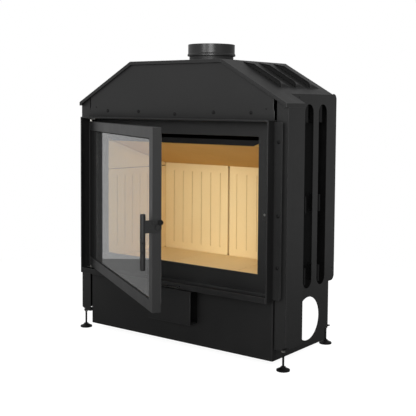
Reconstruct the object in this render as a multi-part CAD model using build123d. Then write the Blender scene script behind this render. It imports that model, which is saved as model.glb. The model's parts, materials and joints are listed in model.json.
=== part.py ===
from build123d import *
import os
from math import atan2, cos, hypot, radians, sin, tan

# Built-in fireplace insert, millimetres.
# X runs to the right seen from the front, Y to the back, Z up.
# The drawing plane Y = 0 is the front edge of the hood. At the end every piece is shifted along Y
# by one value, so that the origin lies under the middle of the insert's footprint, on the floor.

os.makedirs("parts", exist_ok=True)

# ---------------------------------------------------------------- driving dimensions

# Sheet and plate
sheet = 2.0                 # hood, jacket, posts and plinth
frame_plate = 5.0           # surround walls and face frame
casing_plate = 4.0          # firebox casing
fit_gap = 0.3               # air between pieces that move past each other
running_gap = 0.05          # radial play of a pin in its bore

# Overall
eave_half = 486.0           # half width at the eaves
overall_height = 1136.0     # from the floor to the top of the flue collar
hood_depth = 425.0
surround_bottom_z = 237.0   # top of the plinth
collar_rise = 69.0          # from the hood's flat top to the top of the collar
hood_rise = 154.0           # from the eaves to the flat top
eave_drop = 58.0            # from the eaves down to the top of the surround

# Surround
post_width = 46.0
post_inner = eave_half - post_width
surround_half = post_inner
surround_inner = surround_half - frame_plate
surround_top_z = overall_height - collar_rise - hood_rise - eave_drop
surround_front_y = -40.0
surround_floor = 3.0
lip_height = 20.0
vent_half = 56.0
vent_height = 9.0
vent_slant = 8.0

# Hood
eave_z = surround_top_z + eave_drop
ridge_half = eave_half - 271.0   # half width of the flat top
ridge_z = eave_z + hood_rise     # height of the flat top
eave_lip = 14.0             # vertical lip at the eaves
eave_depth = 122.0          # the eaves reach back to here, then the slope is cut to the side sheet
rim_height = 12.0           # folded front rim of the hood
hood_plate_y = 8.0          # front plate, set back behind the rim
hood_plate_half = post_inner - 6.5
hood_plate_step = 3.5       # the front plate narrows by this above its step
hood_step_z = surround_top_z + 28.0
hood_step_height = 10.0

# Louvres in the hood's slopes
louvre_count = 3
louvre_first_y = 122.0
louvre_pitch = 100.0
louvre_length = 190.0       # along the slope
louvre_offset = 8.0         # from the ridge, along the slope
louvre_depth = 62.0
louvre_height = 17.0
louvre_taper = 50.0         # it rises over this length
louvre_end = 18.0           # length of its rounded lower end
louvre_slit = 17.0          # cut that runs on past the lower end
louvre_slit_width = 2.0

# Flue
flue_y = 230.0
flue_radius = 90.0
flue_top_z = ridge_z + collar_rise
flue_wall = 2.0
collar_height = 40.0
bead_radius = 92.6
bead_height = 6.0
neck_radius = 85.0
neck_wall = 3.0
neck_step_z = ridge_z + 25.0
neck_play = 1.0             # air round the neck in the flat top

# Corner posts
post_y = 14.0               # front face of the posts and of the plinth
post_bottom_z = 73.0
post_chamfer_x = 20.0
post_chamfer_z = 9.0
post_chamfer_depth = 30.0   # the side's lower edge comes down over this depth

# Cover strips on the posts
strip_width = 32.0
strip_y = 0.0
strip_bottom_z = surround_bottom_z + 6.6
strip_top_z = surround_top_z - 6.0
strip_chamfer_x = 7.0
strip_chamfer_z = 11.0
strip_screw_inset = 17.0
strip_screw_z = (surround_bottom_z + 118.0, surround_bottom_z + 295.0, strip_top_z - 67.0)
strip_spacer_radius = 6.0

# Jacket side sheets
side_x = post_inner - 13.0  # outer face
side_front_y = 42.0
jacket_rear_y = hood_depth + 26.0    # above the plinth the jacket reaches further back
side_rear_y = jacket_rear_y - 41.0
jacket_bottom_z = surround_bottom_z + 5.0
jacket_corner = 21.0
jacket_rear_rise = 5.0      # behind the hood the side sheet stands higher by this
side_bottom_z = 22.0
slot_width = 60.0
slot_bottom_z = surround_bottom_z + 3.0
slot_top_z = surround_top_z + 55.0
slot_centres_y = (251.5, 349.0)
side_hole_radius = 80.0
side_hole_y = 260.0
side_hole_z = 127.0
foot_notch_y = side_rear_y - 23.0
foot_notch_z = 66.0
back_panel_inset = 12.0     # from the jacket's rear edge
back_skirt_inset = 25.0     # the back's skirt below the jacket is narrower by this on each side
back_skirt_z = 205.0

# Fins between the firebox casing and the jacket
fin_height = 62.0
fin_rows_z = (surround_bottom_z + 47.0, surround_bottom_z + 309.0, surround_top_z + 20.0)
fin_row_widths = (12.0, 10.0, 20.0)
fin_centres_y = (238.0, 338.0)
fin_end_gap = 1.0           # from the inner face of the side sheet

# Face frame
face_y = 31.0
face_bottom_z = surround_bottom_z + 19.0
opening_half = surround_inner - 79.0
opening_bottom_z = surround_bottom_z + 80.0
opening_top_z = surround_top_z - 58.0
face_back_y = face_y + frame_plate

# Air-wash strip behind the top of the opening
air_wash_top_z = opening_top_z - 14.0
air_wash_bottom_z = opening_top_z - 34.0
air_wash_chamfer_x = 29.0
air_wash_chamfer_z = 13.0
air_wash_overlap = 4.0      # its corners lie behind the face frame by this
air_wash_plate = 3.0

# Firebox lining
lining = 30.0
side_board = 24.0           # least thickness of a side wall
firebox_front_half = opening_half - 2.0
firebox_back_half = firebox_front_half - 25.0
firebox_back_y = hood_depth - 73.0
firebox_floor_z = opening_bottom_z - 17.0
lining_top_z = opening_top_z - 136.0     # where the back wall meets the baffle
baffle_front_y = 60.0
baffle_front_z = opening_top_z - 37.0
baffle_thickness = 20.0
side_lining_split_z = lining_top_z - 11.0
floor_joints_x = (-100.0, 203.0)
tile_joint = 2.5
centre_joint = 9.0
groove_width = 5.0
groove_depth = 2.2
groove_pitch = 48.0
groove_first_x = 41.0
groove_count = 6
back_groove_bottom_z = firebox_floor_z + 30.0
back_groove_top_z = lining_top_z - 31.0
side_groove_first = 43.0    # along the wall from its front edge
side_groove_pitch = 42.0
side_groove_count = 6
side_groove_bottom_z = firebox_floor_z + 38.0
side_groove_top_z = lining_top_z - 40.0

# Plinth
plinth_half = post_inner - 7.0
plinth_bottom_z = 25.0
plinth_return = 26.0
plinth_bend = 6.0
air_inlet_half = 106.0
air_inlet_bottom_z = 107.0
air_inlet_top_z = surround_bottom_z - 13.0

# Cover in front of the air inlet
inlet_cover_half = 99.0
inlet_cover_y = -20.0
inlet_cover_bottom_z = 103.0
inlet_cover_top_z = surround_bottom_z - 9.0

# Air box under the firebox, with a duct from the inlet
air_box_bottom_z = surround_bottom_z - 29.0
duct_half = 115.0
duct_rear_y = 96.0
duct_bottom_z = 95.0

# Feet
foot_radius = 23.5
foot_edge = 5.0
foot_bell_radius = 9.0
foot_bell_z = 15.0
foot_rod_radius = 4.0
foot_rod_top_z = 100.0
foot_nut_across = 13.0
foot_nut_height = 6.5
foot_seat_plate = 3.0
front_foot = (eave_half - 14.0, 22.0)
rear_foot = (side_x - 10.0, side_rear_y + 2.0)
rear_tab_reach = 20.0       # the rear seat goes this far past the foot's centre

# Door, given in its own frame: S from the hinge edge, T into the door from its outer face
door_hinge_gap = 5.65       # from the surround's inner face to the shut door
door_free_gap = 11.0
door_width = 2 * surround_inner - door_hinge_gap - door_free_gap
door_thickness = 28.0
door_bottom_z = surround_bottom_z + 26.0
door_top_z = surround_top_z - 19.0
door_rail = 34.0
door_stile = 35.0
door_lap = 10.0             # the glass is wider than the frame's window by this on each side
glass_setback = 6.0
glass_thickness = 4.0
glass_gap = 0.5
trim_edge = 5.0             # the trim over the hinge stile starts this far from the door's edge
trim_width = 83.0           # it reaches over the edge of the glass
trim_steps_s = (17.0, 49.0) # each step lies deeper, from the trim's edge
trim_setback = 2.0
trim_step = 1.2
stile_recess = 4.5
gasket_width = 10.0
gasket_height = 7.0
gasket_inset = 14.0
clip_length = 40.0
clip_thickness = 2.0
clip_reach = 18.0

# Door hinge
door_open = 32.1            # angle of the door as drawn
hinge_inset = 7.0           # of the axis, from the door's edge and from its outer face
hinge_x = -surround_inner + door_hinge_gap + hinge_inset
hinge_y = 2.2
hinge_pin_radius = 4.0
hinge_pin_reach = 18.0      # into the door
hinge_collar_radius = 7.0
hinge_plate = 4.0
top_hinge_plate_reach = 34.0     # from the axis, towards the door's free edge
bottom_hinge_plate_reach = 18.0
hinge_plate_front = 13.0    # from the axis forward
top_hinge_z = surround_top_z - 10.0      # underside of the upper plate
bottom_hinge_z = surround_bottom_z + 22.0    # top of the lower plate

# Latch height, which the handle, the keeper and the notch for the latch share
latch_z = surround_bottom_z + 295.0
latch_notch_x = surround_inner - 16.0
latch_notch_bottom_z = latch_z - 37.0
latch_notch_top_z = latch_z + 53.0

# Handle, in the door's frame
handle_radius = 8.5
handle_bottom_z = latch_z - 135.5
handle_top_z = latch_z + 39.0
handle_s = door_width - 4.0
handle_t = -29.4
handle_end_round = 3.0
handle_holes_z = tuple(handle_bottom_z + rise for rise in (25.5, 56.5, 71.5, 85.5, 100.5))
handle_hole_radius = 2.6
handle_plate = 3.0
handle_plate_bottom_z = latch_z - 20.0
handle_plate_top_z = latch_z + 20.0
handle_plate_back = 29.0
handle_plate_low_round = 14.0
pivot_t = 16.1
pivot_z = latch_z - 2.3
pivot_radius = 4.0
pivot_reach = 22.0
pivot_head_radius = 7.0
pivot_head = 4.5
roller_t = 25.0
roller_z = latch_z + 12.0
roller_radius = 8.0
roller_width = 6.0

# Keeper beside the opening
keeper_x = opening_half + 29.0
keeper_z = latch_z - 4.0
keeper_width = 18.0
keeper_height = 36.0
keeper_plate = 2.0
keeper_bolt_radius = 3.2
keeper_bolt_head = 2.0

# Air slide
slide_width = 60.0
slide_plate = 2.0
slide_front_y = -34.0
slide_rear_y = 20.0
slide_centre_x = -30.0
slide_tab_width = 16.0
slide_tab_reach = 14.0      # in front of the lip
slide_grip_radius = 5.0

# Screw heads
screw_radius = 6.2
screw_height = 3.4
screw_dome = 0.4            # share of a head's height that is rounded
small_screw_radius = 2.6
small_screw_height = 1.5
hood_screws = tuple(
    (share * hood_plate_half, surround_top_z + rise)
    for share, rise in ((-0.78, 25.0), (-0.41, 24.0), (0.0, 16.0), (0.41, 24.0), (0.78, 25.0))
)
small_screw_x = hood_plate_half - 33.5
hood_small_screws = tuple((side * small_screw_x, surround_top_z + 38.0) for side in (-1, 1))
vent_screw_x = vent_half + vent_slant
jacket_screws = (
    (side_rear_y + 25.0, surround_bottom_z + 53.0),
    (135.0, surround_top_z + 80.0),
    (182.0, surround_top_z + 80.0),
)

# ---------------------------------------------------------------- derived values

slope = atan2(ridge_z - eave_z, eave_half - ridge_half)
strip_outer = post_inner + strip_width
strip_screw_x = post_inner + strip_screw_inset
lining_half = firebox_front_half + side_board
casing_half = lining_half + casing_plate
casing_back_y = firebox_back_y + lining + casing_plate
casing_floor_z = firebox_floor_z - lining
casing_top_z = surround_top_z - casing_plate
baffle_slope = (baffle_front_z - lining_top_z) / (firebox_back_y - baffle_front_y)
seat_bottom_z = post_bottom_z - foot_seat_plate

# The origin lies under the middle of the footprint, which reaches from the handle of the open
# door to the back of the jacket.
handle_swing_s = handle_s - hinge_inset
handle_swing_t = handle_t - hinge_inset
open_angle = radians(door_open)
handle_front_y = (
    hinge_y - handle_swing_s * sin(open_angle) + handle_swing_t * cos(open_angle) - handle_radius
)
shift_y = -(handle_front_y + jacket_rear_y) / 2

# Place of the door's own frame in the insert, as drawn
door_place = Pos(hinge_x, hinge_y, 0) * Rot(0, 0, -door_open) * Pos(-hinge_inset, -hinge_inset, 0)

# ---------------------------------------------------------------- shapes


def block(xs, ys, zs):
    """Box between two corners, given as a pair of values along each axis."""
    low = [min(pair) for pair in (xs, ys, zs)]
    size = [abs(pair[1] - pair[0]) for pair in (xs, ys, zs)]
    return Pos(*low) * Box(*size, align=(Align.MIN, Align.MIN, Align.MIN))


def prism_y(points, y0, y1):
    """Outline of (x, z) points, from y0 to y1."""
    plane = Plane((0, y0, 0), x_dir=(1, 0, 0), z_dir=(0, -1, 0))
    return extrude(plane * Polygon(*points, align=None), y1 - y0, dir=(0, 1, 0))


def prism_x(points, x0, x1):
    """Outline of (y, z) points, from x0 to x1."""
    plane = Plane((x0, 0, 0), x_dir=(0, 1, 0), z_dir=(1, 0, 0))
    return extrude(plane * Polygon(*points, align=None), x1 - x0, dir=(1, 0, 0))


def rod(radius, start, axis, length):
    """Cylinder from a start point along an axis."""
    plane = Plane(origin=start, z_dir=axis)
    return plane * Cylinder(radius, length, align=(Align.CENTER, Align.CENTER, Align.MIN))


def screw_head(radius, height, seat, axis):
    """Low domed head that stands on its seat."""
    head = rod(radius, seat, axis, height)
    rim = head.edges().filter_by(GeomType.CIRCLE).sort_by(Axis(seat, axis))[-1]
    return fillet(rim, screw_dome * height)


def upright_slot(width, bottom_z, top_z):
    """Round-ended slot outline, standing upright, with its middle at the local origin's side."""
    return Pos(0, (bottom_z + top_z) / 2) * SlotOverall(top_z - bottom_z, width, rotation=90)


def save(name, shape):
    """Write one piece, in the insert's own frame."""
    export_step(Pos(0, shift_y, 0) * shape, f"parts/{name}.step")


def save_pair(name, right_shape):
    """Write a right-hand piece and its mirror image."""
    save(f"{name}_right", right_shape)
    save(f"{name}_left", mirror(right_shape, about=Plane.YZ))


def joined(shapes):
    """Several solids in one piece."""
    return Part() + list(shapes)


# ---------------------------------------------------------------- hood


def roof_corners(inset):
    """Right-hand eave and ridge corners of the roof's outline, moved in by a distance."""
    drop = inset / cos(slope)
    eave = (eave_half - inset, eave_z + inset * tan(slope) - drop)
    ridge = (eave_half - (ridge_z - inset - eave_z + drop) / tan(slope), ridge_z - inset)
    return eave, ridge


def roof_z(x, inset):
    """Height of the right-hand slope at x, moved in by a distance."""
    return eave_z + (eave_half - x) * tan(slope) - inset / cos(slope)


def top_outline(outer, inner):
    ridge_out = roof_corners(outer)[1]
    ridge_in = roof_corners(inner)[1]
    return [(-ridge_out[0], ridge_out[1]), ridge_out, ridge_in, (-ridge_in[0], ridge_in[1])]


def slope_outline(outer, inner):
    eave_out, ridge_out = roof_corners(outer)
    eave_in, ridge_in = roof_corners(inner)
    lip_z = eave_z - eave_lip
    return [ridge_out, eave_out, (eave_out[0], lip_z), (eave_in[0], lip_z), eave_in, ridge_in]


def hood_top():
    top = prism_y(top_outline(0, sheet), 0, hood_depth)
    rim = prism_y(top_outline(sheet, rim_height), 0, sheet)
    hole = rod(neck_radius + neck_play, (0, flue_y, ridge_z - 2 * sheet), (0, 0, 1), 3 * sheet)
    return top + rim - hole


def louvre_body(height, start, end, floor):
    """One louvre on the local plane: it rises from its start, ends round, and sinks with depth."""
    rise = louvre_height / louvre_depth
    front = [(-sheet, floor), (-sheet, height + sheet * rise)]
    across = prism_x([*front, ((height - floor) / rise, floor)], start, end)
    along = [
        (start, floor),
        (start, 0),
        (louvre_taper, height),
        (end - louvre_end, height),
        (end - louvre_end / 3, 0.7 * height),
        (end, 0),
        (end, floor),
    ]
    return across & prism_y(along, -sheet, louvre_depth + sheet)


def hood_slope():
    panel = prism_y(slope_outline(0, sheet), 0, hood_depth)
    panel += prism_y(slope_outline(sheet, rim_height), 0, sheet)
    panel -= block((side_x, eave_half + 1), (eave_depth, hood_depth + 1), (0, ridge_z))
    surface = Plane(
        origin=(ridge_half, 0, ridge_z),
        x_dir=(cos(slope), 0, -sin(slope)),
        z_dir=(sin(slope), 0, cos(slope)),
    )
    skin = sheet * hypot(1, louvre_height / louvre_depth)
    below = 3 * sheet
    before_mouth = block((-1, louvre_length + 1), (-below, 0), (-2 * below, 2 * louvre_height))
    slit = block(
        (louvre_length - sheet, louvre_length + louvre_slit), (0, louvre_slit_width), (-below, below)
    )
    for i in range(louvre_count):
        place = surface * Pos(louvre_offset, louvre_first_y + i * louvre_pitch, 0)
        # the sheet in front of the mouth stays whole
        body = louvre_body(louvre_height, 0, louvre_length, -sheet / 2) - before_mouth
        hollow = louvre_body(louvre_height - skin, 2 * sheet, louvre_length - sheet, -below)
        hollow -= block((-1, louvre_length + 1), (-below, 0), (-2 * below, 0))
        panel += place * body
        panel -= place * (hollow + slit)
    return panel


def hood_front_plate():
    upper_half = hood_plate_half - hood_plate_step
    ridge_in = roof_corners(sheet)[1]
    right = [
        (hood_plate_half, surround_top_z),
        (hood_plate_half, hood_step_z),
        (upper_half, hood_step_z + hood_step_height),
        (upper_half, roof_z(upper_half, sheet)),
        ridge_in,
    ]
    left = [(-x, z) for x, z in reversed(right)]
    return prism_y(right + left, hood_plate_y, hood_plate_y + sheet)


save("hood_top", hood_top())
save_pair("hood_slope", hood_slope())
save("hood_front_plate", hood_front_plate())

# ---------------------------------------------------------------- flue


def flue_neck():
    bottom_z = casing_top_z + casing_plate
    height = neck_step_z - bottom_z
    outer = rod(neck_radius, (0, flue_y, bottom_z), (0, 0, 1), height)
    return outer - rod(neck_radius - neck_wall, (0, flue_y, bottom_z - 1), (0, 0, 1), height + 2)


def flue_collar():
    """Turned about the flue's axis: seat ring, bead and upright collar."""
    bore = flue_radius - flue_wall
    seat_bore = neck_radius - neck_wall
    top_step = flue_top_z - collar_height
    with BuildPart() as collar:
        with BuildSketch(Plane((0, flue_y, 0), x_dir=(1, 0, 0), z_dir=(0, -1, 0))):
            Polygon(
                (seat_bore, neck_step_z),
                (bead_radius, neck_step_z),
                (bead_radius, neck_step_z + bead_height),
                (flue_radius, top_step + bead_height),
                (flue_radius, flue_top_z),
                (bore, flue_top_z),
                (bore, neck_step_z + flue_wall),
                (seat_bore, neck_step_z + flue_wall),
                align=None,
            )
        revolve(axis=Axis((0, flue_y, 0), (0, 0, 1)))
    return collar.part


save("flue_neck", flue_neck())
save("flue_collar", flue_collar())

# ---------------------------------------------------------------- corner posts and cover strips


def corner_post():
    """Front flange, outer side and a return to the jacket, with the front foot's seat below."""
    outer = eave_half
    lip_z = eave_z - eave_lip
    inner_face = outer - sheet
    front = prism_y(
        [
            (post_inner, post_bottom_z),
            (outer - post_chamfer_x, post_bottom_z),
            (outer, post_bottom_z + post_chamfer_z),
            (outer, lip_z),
            (inner_face, lip_z),
            (inner_face, roof_z(inner_face, sheet)),
            (post_inner, roof_z(post_inner, sheet)),
        ],
        post_y,
        post_y + sheet,
    )
    side = prism_x(
        [
            (post_y + sheet, post_bottom_z + post_chamfer_z),
            (post_y + post_chamfer_depth, post_bottom_z),
            (eave_depth, post_bottom_z),
            (eave_depth, lip_z),
            (post_y + sheet, lip_z),
        ],
        inner_face,
        outer,
    )
    back_outline = [
        (side_x, post_bottom_z),
        (inner_face, post_bottom_z),
        (inner_face, roof_z(inner_face, sheet)),
        (side_x, roof_z(side_x, sheet)),
    ]
    back = prism_y(back_outline, eave_depth - sheet, eave_depth)
    seat = block((post_inner, outer - post_chamfer_x), (post_y, eave_depth), (seat_bottom_z, post_bottom_z))
    tongue_x = (outer - post_chamfer_x, front_foot[0] + foot_nut_across / 2)
    seat += block(tongue_x, (post_y, eave_depth), (seat_bottom_z, post_bottom_z))
    hole = rod(foot_rod_radius + fit_gap, (*front_foot, seat_bottom_z - 1), (0, 0, 1), 2 * foot_seat_plate)
    return front + side + back + (seat - hole)


def cover_strip():
    """Plate in front of the post, with an inner return and a spacer behind each screw."""
    face = prism_y(
        [
            (post_inner, strip_bottom_z),
            (strip_outer - strip_chamfer_x, strip_bottom_z),
            (strip_outer, strip_bottom_z + strip_chamfer_z),
            (strip_outer, strip_top_z),
            (post_inner, strip_top_z),
        ],
        strip_y,
        strip_y + sheet,
    )
    strip_z = (strip_bottom_z, strip_top_z)
    strip = face + block((post_inner, post_inner + sheet), (strip_y + sheet, post_y), strip_z)
    reach = post_y - strip_y - sheet
    for z in strip_screw_z:
        strip += rod(strip_spacer_radius, (strip_screw_x, strip_y + sheet, z), (0, 1, 0), reach)
    return strip


save_pair("corner_post", corner_post())
save_pair("cover_strip", cover_strip())

# ---------------------------------------------------------------- jacket


def side_sheet():
    """Flat side with two long slots and a round hole, and the rear foot's seat."""
    top_z = roof_z(side_x, sheet)
    rear_top_z = top_z + jacket_rear_rise
    inner_x = side_x - sheet
    plane = Plane((inner_x, 0, 0), x_dir=(0, 1, 0), z_dir=(1, 0, 0))
    lower = Polygon(
        (side_front_y, side_bottom_z),
        (foot_notch_y, side_bottom_z),
        (foot_notch_y, foot_notch_z),
        (side_rear_y, foot_notch_z),
        (side_rear_y, top_z),
        (side_front_y, top_z),
        align=None,
    )
    rear_front_y = hood_depth + fit_gap
    rear = Polygon(
        (foot_notch_y, jacket_bottom_z),
        (jacket_rear_y, jacket_bottom_z),
        (jacket_rear_y, rear_top_z),
        (rear_front_y, rear_top_z),
        (rear_front_y, top_z),
        (foot_notch_y, top_z),
        align=None,
    )
    rear = fillet(rear.vertices().group_by(Axis.X)[-1], jacket_corner)
    outline = lower + rear
    for y in slot_centres_y:
        outline -= Pos(y, 0) * upright_slot(slot_width, slot_bottom_z, slot_top_z)
    outline -= Pos(side_hole_y, side_hole_z) * Circle(side_hole_radius)
    panel = extrude(plane * outline, sheet, dir=(1, 0, 0))
    foot_x, foot_y = rear_foot
    seat = block(
        (foot_x - rear_tab_reach, inner_x),
        (foot_notch_y, foot_y + rear_tab_reach),
        (foot_notch_z, foot_notch_z + foot_seat_plate),
    )
    seat -= rod(foot_rod_radius + fit_gap, (foot_x, foot_y, 0), (0, 0, 1), 2 * foot_notch_z)
    return panel + seat


def back_panel():
    """Back of the jacket, a shelf forward to the hood, and the hood's own back up to its roof."""
    half = side_x - sheet
    back_y = jacket_rear_y - back_panel_inset
    shelf_z = roof_z(half, sheet)
    ridge_in = roof_corners(sheet)[1]
    panel = block((-half, half), (back_y - sheet, back_y), (jacket_bottom_z, shelf_z))
    skirt_half = half - back_skirt_inset
    panel += block((-skirt_half, skirt_half), (back_y - sheet, back_y), (back_skirt_z, jacket_bottom_z))
    panel += block((-half, half), (hood_depth - sheet, back_y), (shelf_z - sheet, shelf_z))
    right = [(half, shelf_z - sheet), (half, shelf_z), ridge_in]
    left = [(-x, z) for x, z in reversed(right)]
    return panel + prism_y(right + left, hood_depth - sheet, hood_depth)


def side_fins():
    """Upright fins on the firebox casing, seen through the slots; the top row is wider."""
    fins = []
    for y in fin_centres_y:
        for z, width in zip(fin_rows_z, fin_row_widths):
            fin_y = (y - width / 2, y + width / 2)
            fin_z = (z - fin_height / 2, z + fin_height / 2)
            fins.append(block((casing_half, side_x - sheet - fin_end_gap), fin_y, fin_z))
    return joined(fins)


save_pair("side_sheet", side_sheet())
save("back_panel", back_panel())
save_pair("side_fins", side_fins())

# ---------------------------------------------------------------- surround and face frame


def surround_wall():
    wall_z = (surround_bottom_z, surround_top_z)
    return block((surround_inner, surround_half), (surround_front_y, face_back_y), wall_z)


def surround_top():
    top_z = (surround_top_z - frame_plate, surround_top_z)
    return block((-surround_inner, surround_inner), (surround_front_y, face_back_y), top_z)


def surround_floor_piece():
    """Floor with an upright lip in front, which is cut out for the air slide."""
    floor_top = surround_bottom_z + surround_floor
    lip_top = surround_bottom_z + lip_height
    lip_back = surround_front_y + sheet
    floor_z = (surround_bottom_z, floor_top)
    floor = block((-surround_inner, surround_inner), (surround_front_y, face_back_y), floor_z)
    lip = block((-surround_inner, surround_inner), (surround_front_y, lip_back), (floor_top, lip_top))
    vent = prism_y(
        [
            (-vent_half - vent_slant, surround_bottom_z - 1),
            (vent_half + vent_slant, surround_bottom_z - 1),
            (vent_half, surround_bottom_z + vent_height),
            (-vent_half, surround_bottom_z + vent_height),
        ],
        surround_front_y - 1,
        lip_back,
    )
    return floor + lip - vent


def face_frame():
    outer_z = (face_bottom_z, surround_top_z - frame_plate)
    plate = block((-surround_inner, surround_inner), (face_y, face_back_y), outer_z)
    opening_z = (opening_bottom_z, opening_top_z)
    plate -= block((-opening_half, opening_half), (face_y - 1, face_back_y + 1), opening_z)
    notch_z = (latch_notch_bottom_z, latch_notch_top_z)
    return plate - block((latch_notch_x, surround_inner + 1), (face_y - 1, face_back_y + 1), notch_z)


def air_wash_strip():
    """Strip between the casing's walls, with an air gap above it and cut lower corners."""
    half = casing_half - casing_plate
    corner_x = opening_half + air_wash_overlap
    outline = [
        (-half, air_wash_top_z),
        (half, air_wash_top_z),
        (half, air_wash_bottom_z + air_wash_chamfer_z),
        (corner_x, air_wash_bottom_z + air_wash_chamfer_z),
        (corner_x - air_wash_chamfer_x, air_wash_bottom_z),
        (-corner_x + air_wash_chamfer_x, air_wash_bottom_z),
        (-corner_x, air_wash_bottom_z + air_wash_chamfer_z),
        (-half, air_wash_bottom_z + air_wash_chamfer_z),
    ]
    return prism_y(outline, face_back_y, face_back_y + air_wash_plate)


def keeper():
    xs = (keeper_x - keeper_width / 2, keeper_x + keeper_width / 2)
    zs = (keeper_z - keeper_height / 2, keeper_z + keeper_height / 2)
    return block(xs, (face_y - keeper_plate, face_y), zs)


def keeper_bolt():
    seat = (keeper_x, face_y - keeper_plate, keeper_z)
    return screw_head(keeper_bolt_radius, keeper_bolt_head, seat, (0, -1, 0))


save_pair("surround_wall", surround_wall())
save("surround_top", surround_top())
save("surround_floor", surround_floor_piece())
save("face_frame", face_frame())
save("air_wash_strip", air_wash_strip())
save("keeper_plate", keeper())
save("keeper_bolt", keeper_bolt())

# ---------------------------------------------------------------- firebox casing and lining


def firebox_casing():
    """Welded steel box round the lining, open to the front, with the flue's hole on top."""
    inner = casing_half - casing_plate
    outer_z = (casing_floor_z - casing_plate, casing_top_z + casing_plate)
    box = block((-casing_half, casing_half), (face_back_y, casing_back_y), outer_z)
    hollow_y = (face_back_y - 1, casing_back_y - casing_plate)
    box -= block((-inner, inner), hollow_y, (casing_floor_z, casing_top_z))
    return box - rod(neck_radius - neck_wall, (0, flue_y, casing_top_z - 1), (0, 0, 1), 2 * casing_plate)


def air_box():
    """Chamber under the firebox, open in front below the face frame, with a duct from the air inlet."""
    half = casing_half
    top_z = casing_floor_z - casing_plate
    sill_z = surround_bottom_z + surround_floor
    duct_front_y = post_y + sheet
    box = block((-half, half), (face_back_y, casing_back_y), (air_box_bottom_z, top_z))
    duct_top_z = surround_bottom_z
    box += block((-duct_half, duct_half), (duct_front_y, duct_rear_y), (duct_bottom_z, duct_top_z))
    chamber_x = (-half + sheet, half - sheet)
    chamber_y = (face_back_y + sheet, casing_back_y - sheet)
    box -= block(chamber_x, chamber_y, (air_box_bottom_z + sheet, top_z + 1))
    box -= block(chamber_x, (face_back_y - 1, face_back_y + 2 * sheet), (sill_z, top_z + 1))
    duct_x = (-duct_half + sheet, duct_half - sheet)
    duct_z = (duct_bottom_z + sheet, duct_top_z - sheet)
    return box - block(duct_x, (duct_front_y - 1, duct_rear_y - sheet), duct_z)


def baffle_z(y):
    """Height of the baffle's underside at y."""
    return lining_top_z + baffle_slope * (firebox_back_y - y)


def back_lining():
    """Right half of the back wall, with upright grooves and a bevelled top under the baffle."""
    rear_y = firebox_back_y + lining
    outline = [
        (firebox_back_y, firebox_floor_z),
        (rear_y, firebox_floor_z),
        (rear_y, baffle_z(rear_y)),
        (firebox_back_y, lining_top_z),
    ]
    panel = prism_x(outline, centre_joint / 2, lining_half)
    plane = Plane((0, firebox_back_y, 0), x_dir=(1, 0, 0), z_dir=(0, -1, 0))
    slot = upright_slot(groove_width, back_groove_bottom_z, back_groove_top_z)
    for i in range(groove_count):
        groove = plane * Pos(groove_first_x + i * groove_pitch, 0) * slot
        panel -= extrude(groove, groove_depth, dir=(0, 1, 0))
    return panel


def splayed_wall(z0, z1):
    """Right wall between two heights; its inner face closes in towards the back."""
    outline = Polygon(
        (firebox_front_half, face_back_y),
        (lining_half, face_back_y),
        (lining_half, firebox_back_y),
        (firebox_back_half, firebox_back_y),
        align=None,
    )
    return extrude(Plane((0, 0, z0)) * outline, z1 - z0, dir=(0, 0, 1))


def side_lining():
    """Right side wall up to its joint, with upright grooves."""
    panel = splayed_wall(firebox_floor_z, side_lining_split_z - tile_joint)
    splay = atan2(firebox_front_half - firebox_back_half, firebox_back_y - face_back_y)
    into = (cos(splay), sin(splay), 0)
    start = (firebox_front_half, face_back_y, 0)
    plane = Plane(start, x_dir=(-sin(splay), cos(splay), 0), z_dir=into)
    slot = upright_slot(groove_width, side_groove_bottom_z, side_groove_top_z)
    for i in range(side_groove_count):
        groove = plane * Pos(side_groove_first + i * side_groove_pitch, 0) * slot
        panel -= extrude(groove, groove_depth, dir=into)
    return panel


def side_lining_upper():
    """Right upper wall, whose top follows the baffle."""
    outline = [
        (face_back_y, side_lining_split_z),
        (firebox_back_y, side_lining_split_z),
        (firebox_back_y, lining_top_z),
        (baffle_front_y, baffle_front_z),
        (face_back_y, baffle_front_z),
    ]
    return prism_x(outline, 0, lining_half) & splayed_wall(side_lining_split_z, baffle_front_z)


def baffle():
    rear_y = firebox_back_y + lining
    rise = baffle_thickness * hypot(1, baffle_slope)
    outline = [
        (baffle_front_y, baffle_front_z),
        (rear_y, baffle_z(rear_y)),
        (rear_y, baffle_z(rear_y) + rise),
        (baffle_front_y, baffle_front_z + rise),
    ]
    return prism_x(outline, -lining_half, lining_half)


def floor_tile(x0, x1):
    tile_y = (face_back_y, firebox_back_y + lining)
    return block((x0, x1), tile_y, (casing_floor_z, firebox_floor_z))


save("firebox_casing", firebox_casing())
save_pair("back_lining", back_lining())
save_pair("side_lining", side_lining())
save_pair("side_lining_upper", side_lining_upper())
save("baffle", baffle())
save("air_box", air_box())
tile_edges = (-lining_half, *floor_joints_x, lining_half)
for i, tile_name in enumerate(("left", "middle", "right")):
    left_gap = tile_joint / 2 if i > 0 else 0
    right_gap = tile_joint / 2 if i < 2 else 0
    save(f"floor_tile_{tile_name}", floor_tile(tile_edges[i] + left_gap, tile_edges[i + 1] - right_gap))

# ---------------------------------------------------------------- plinth


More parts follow.
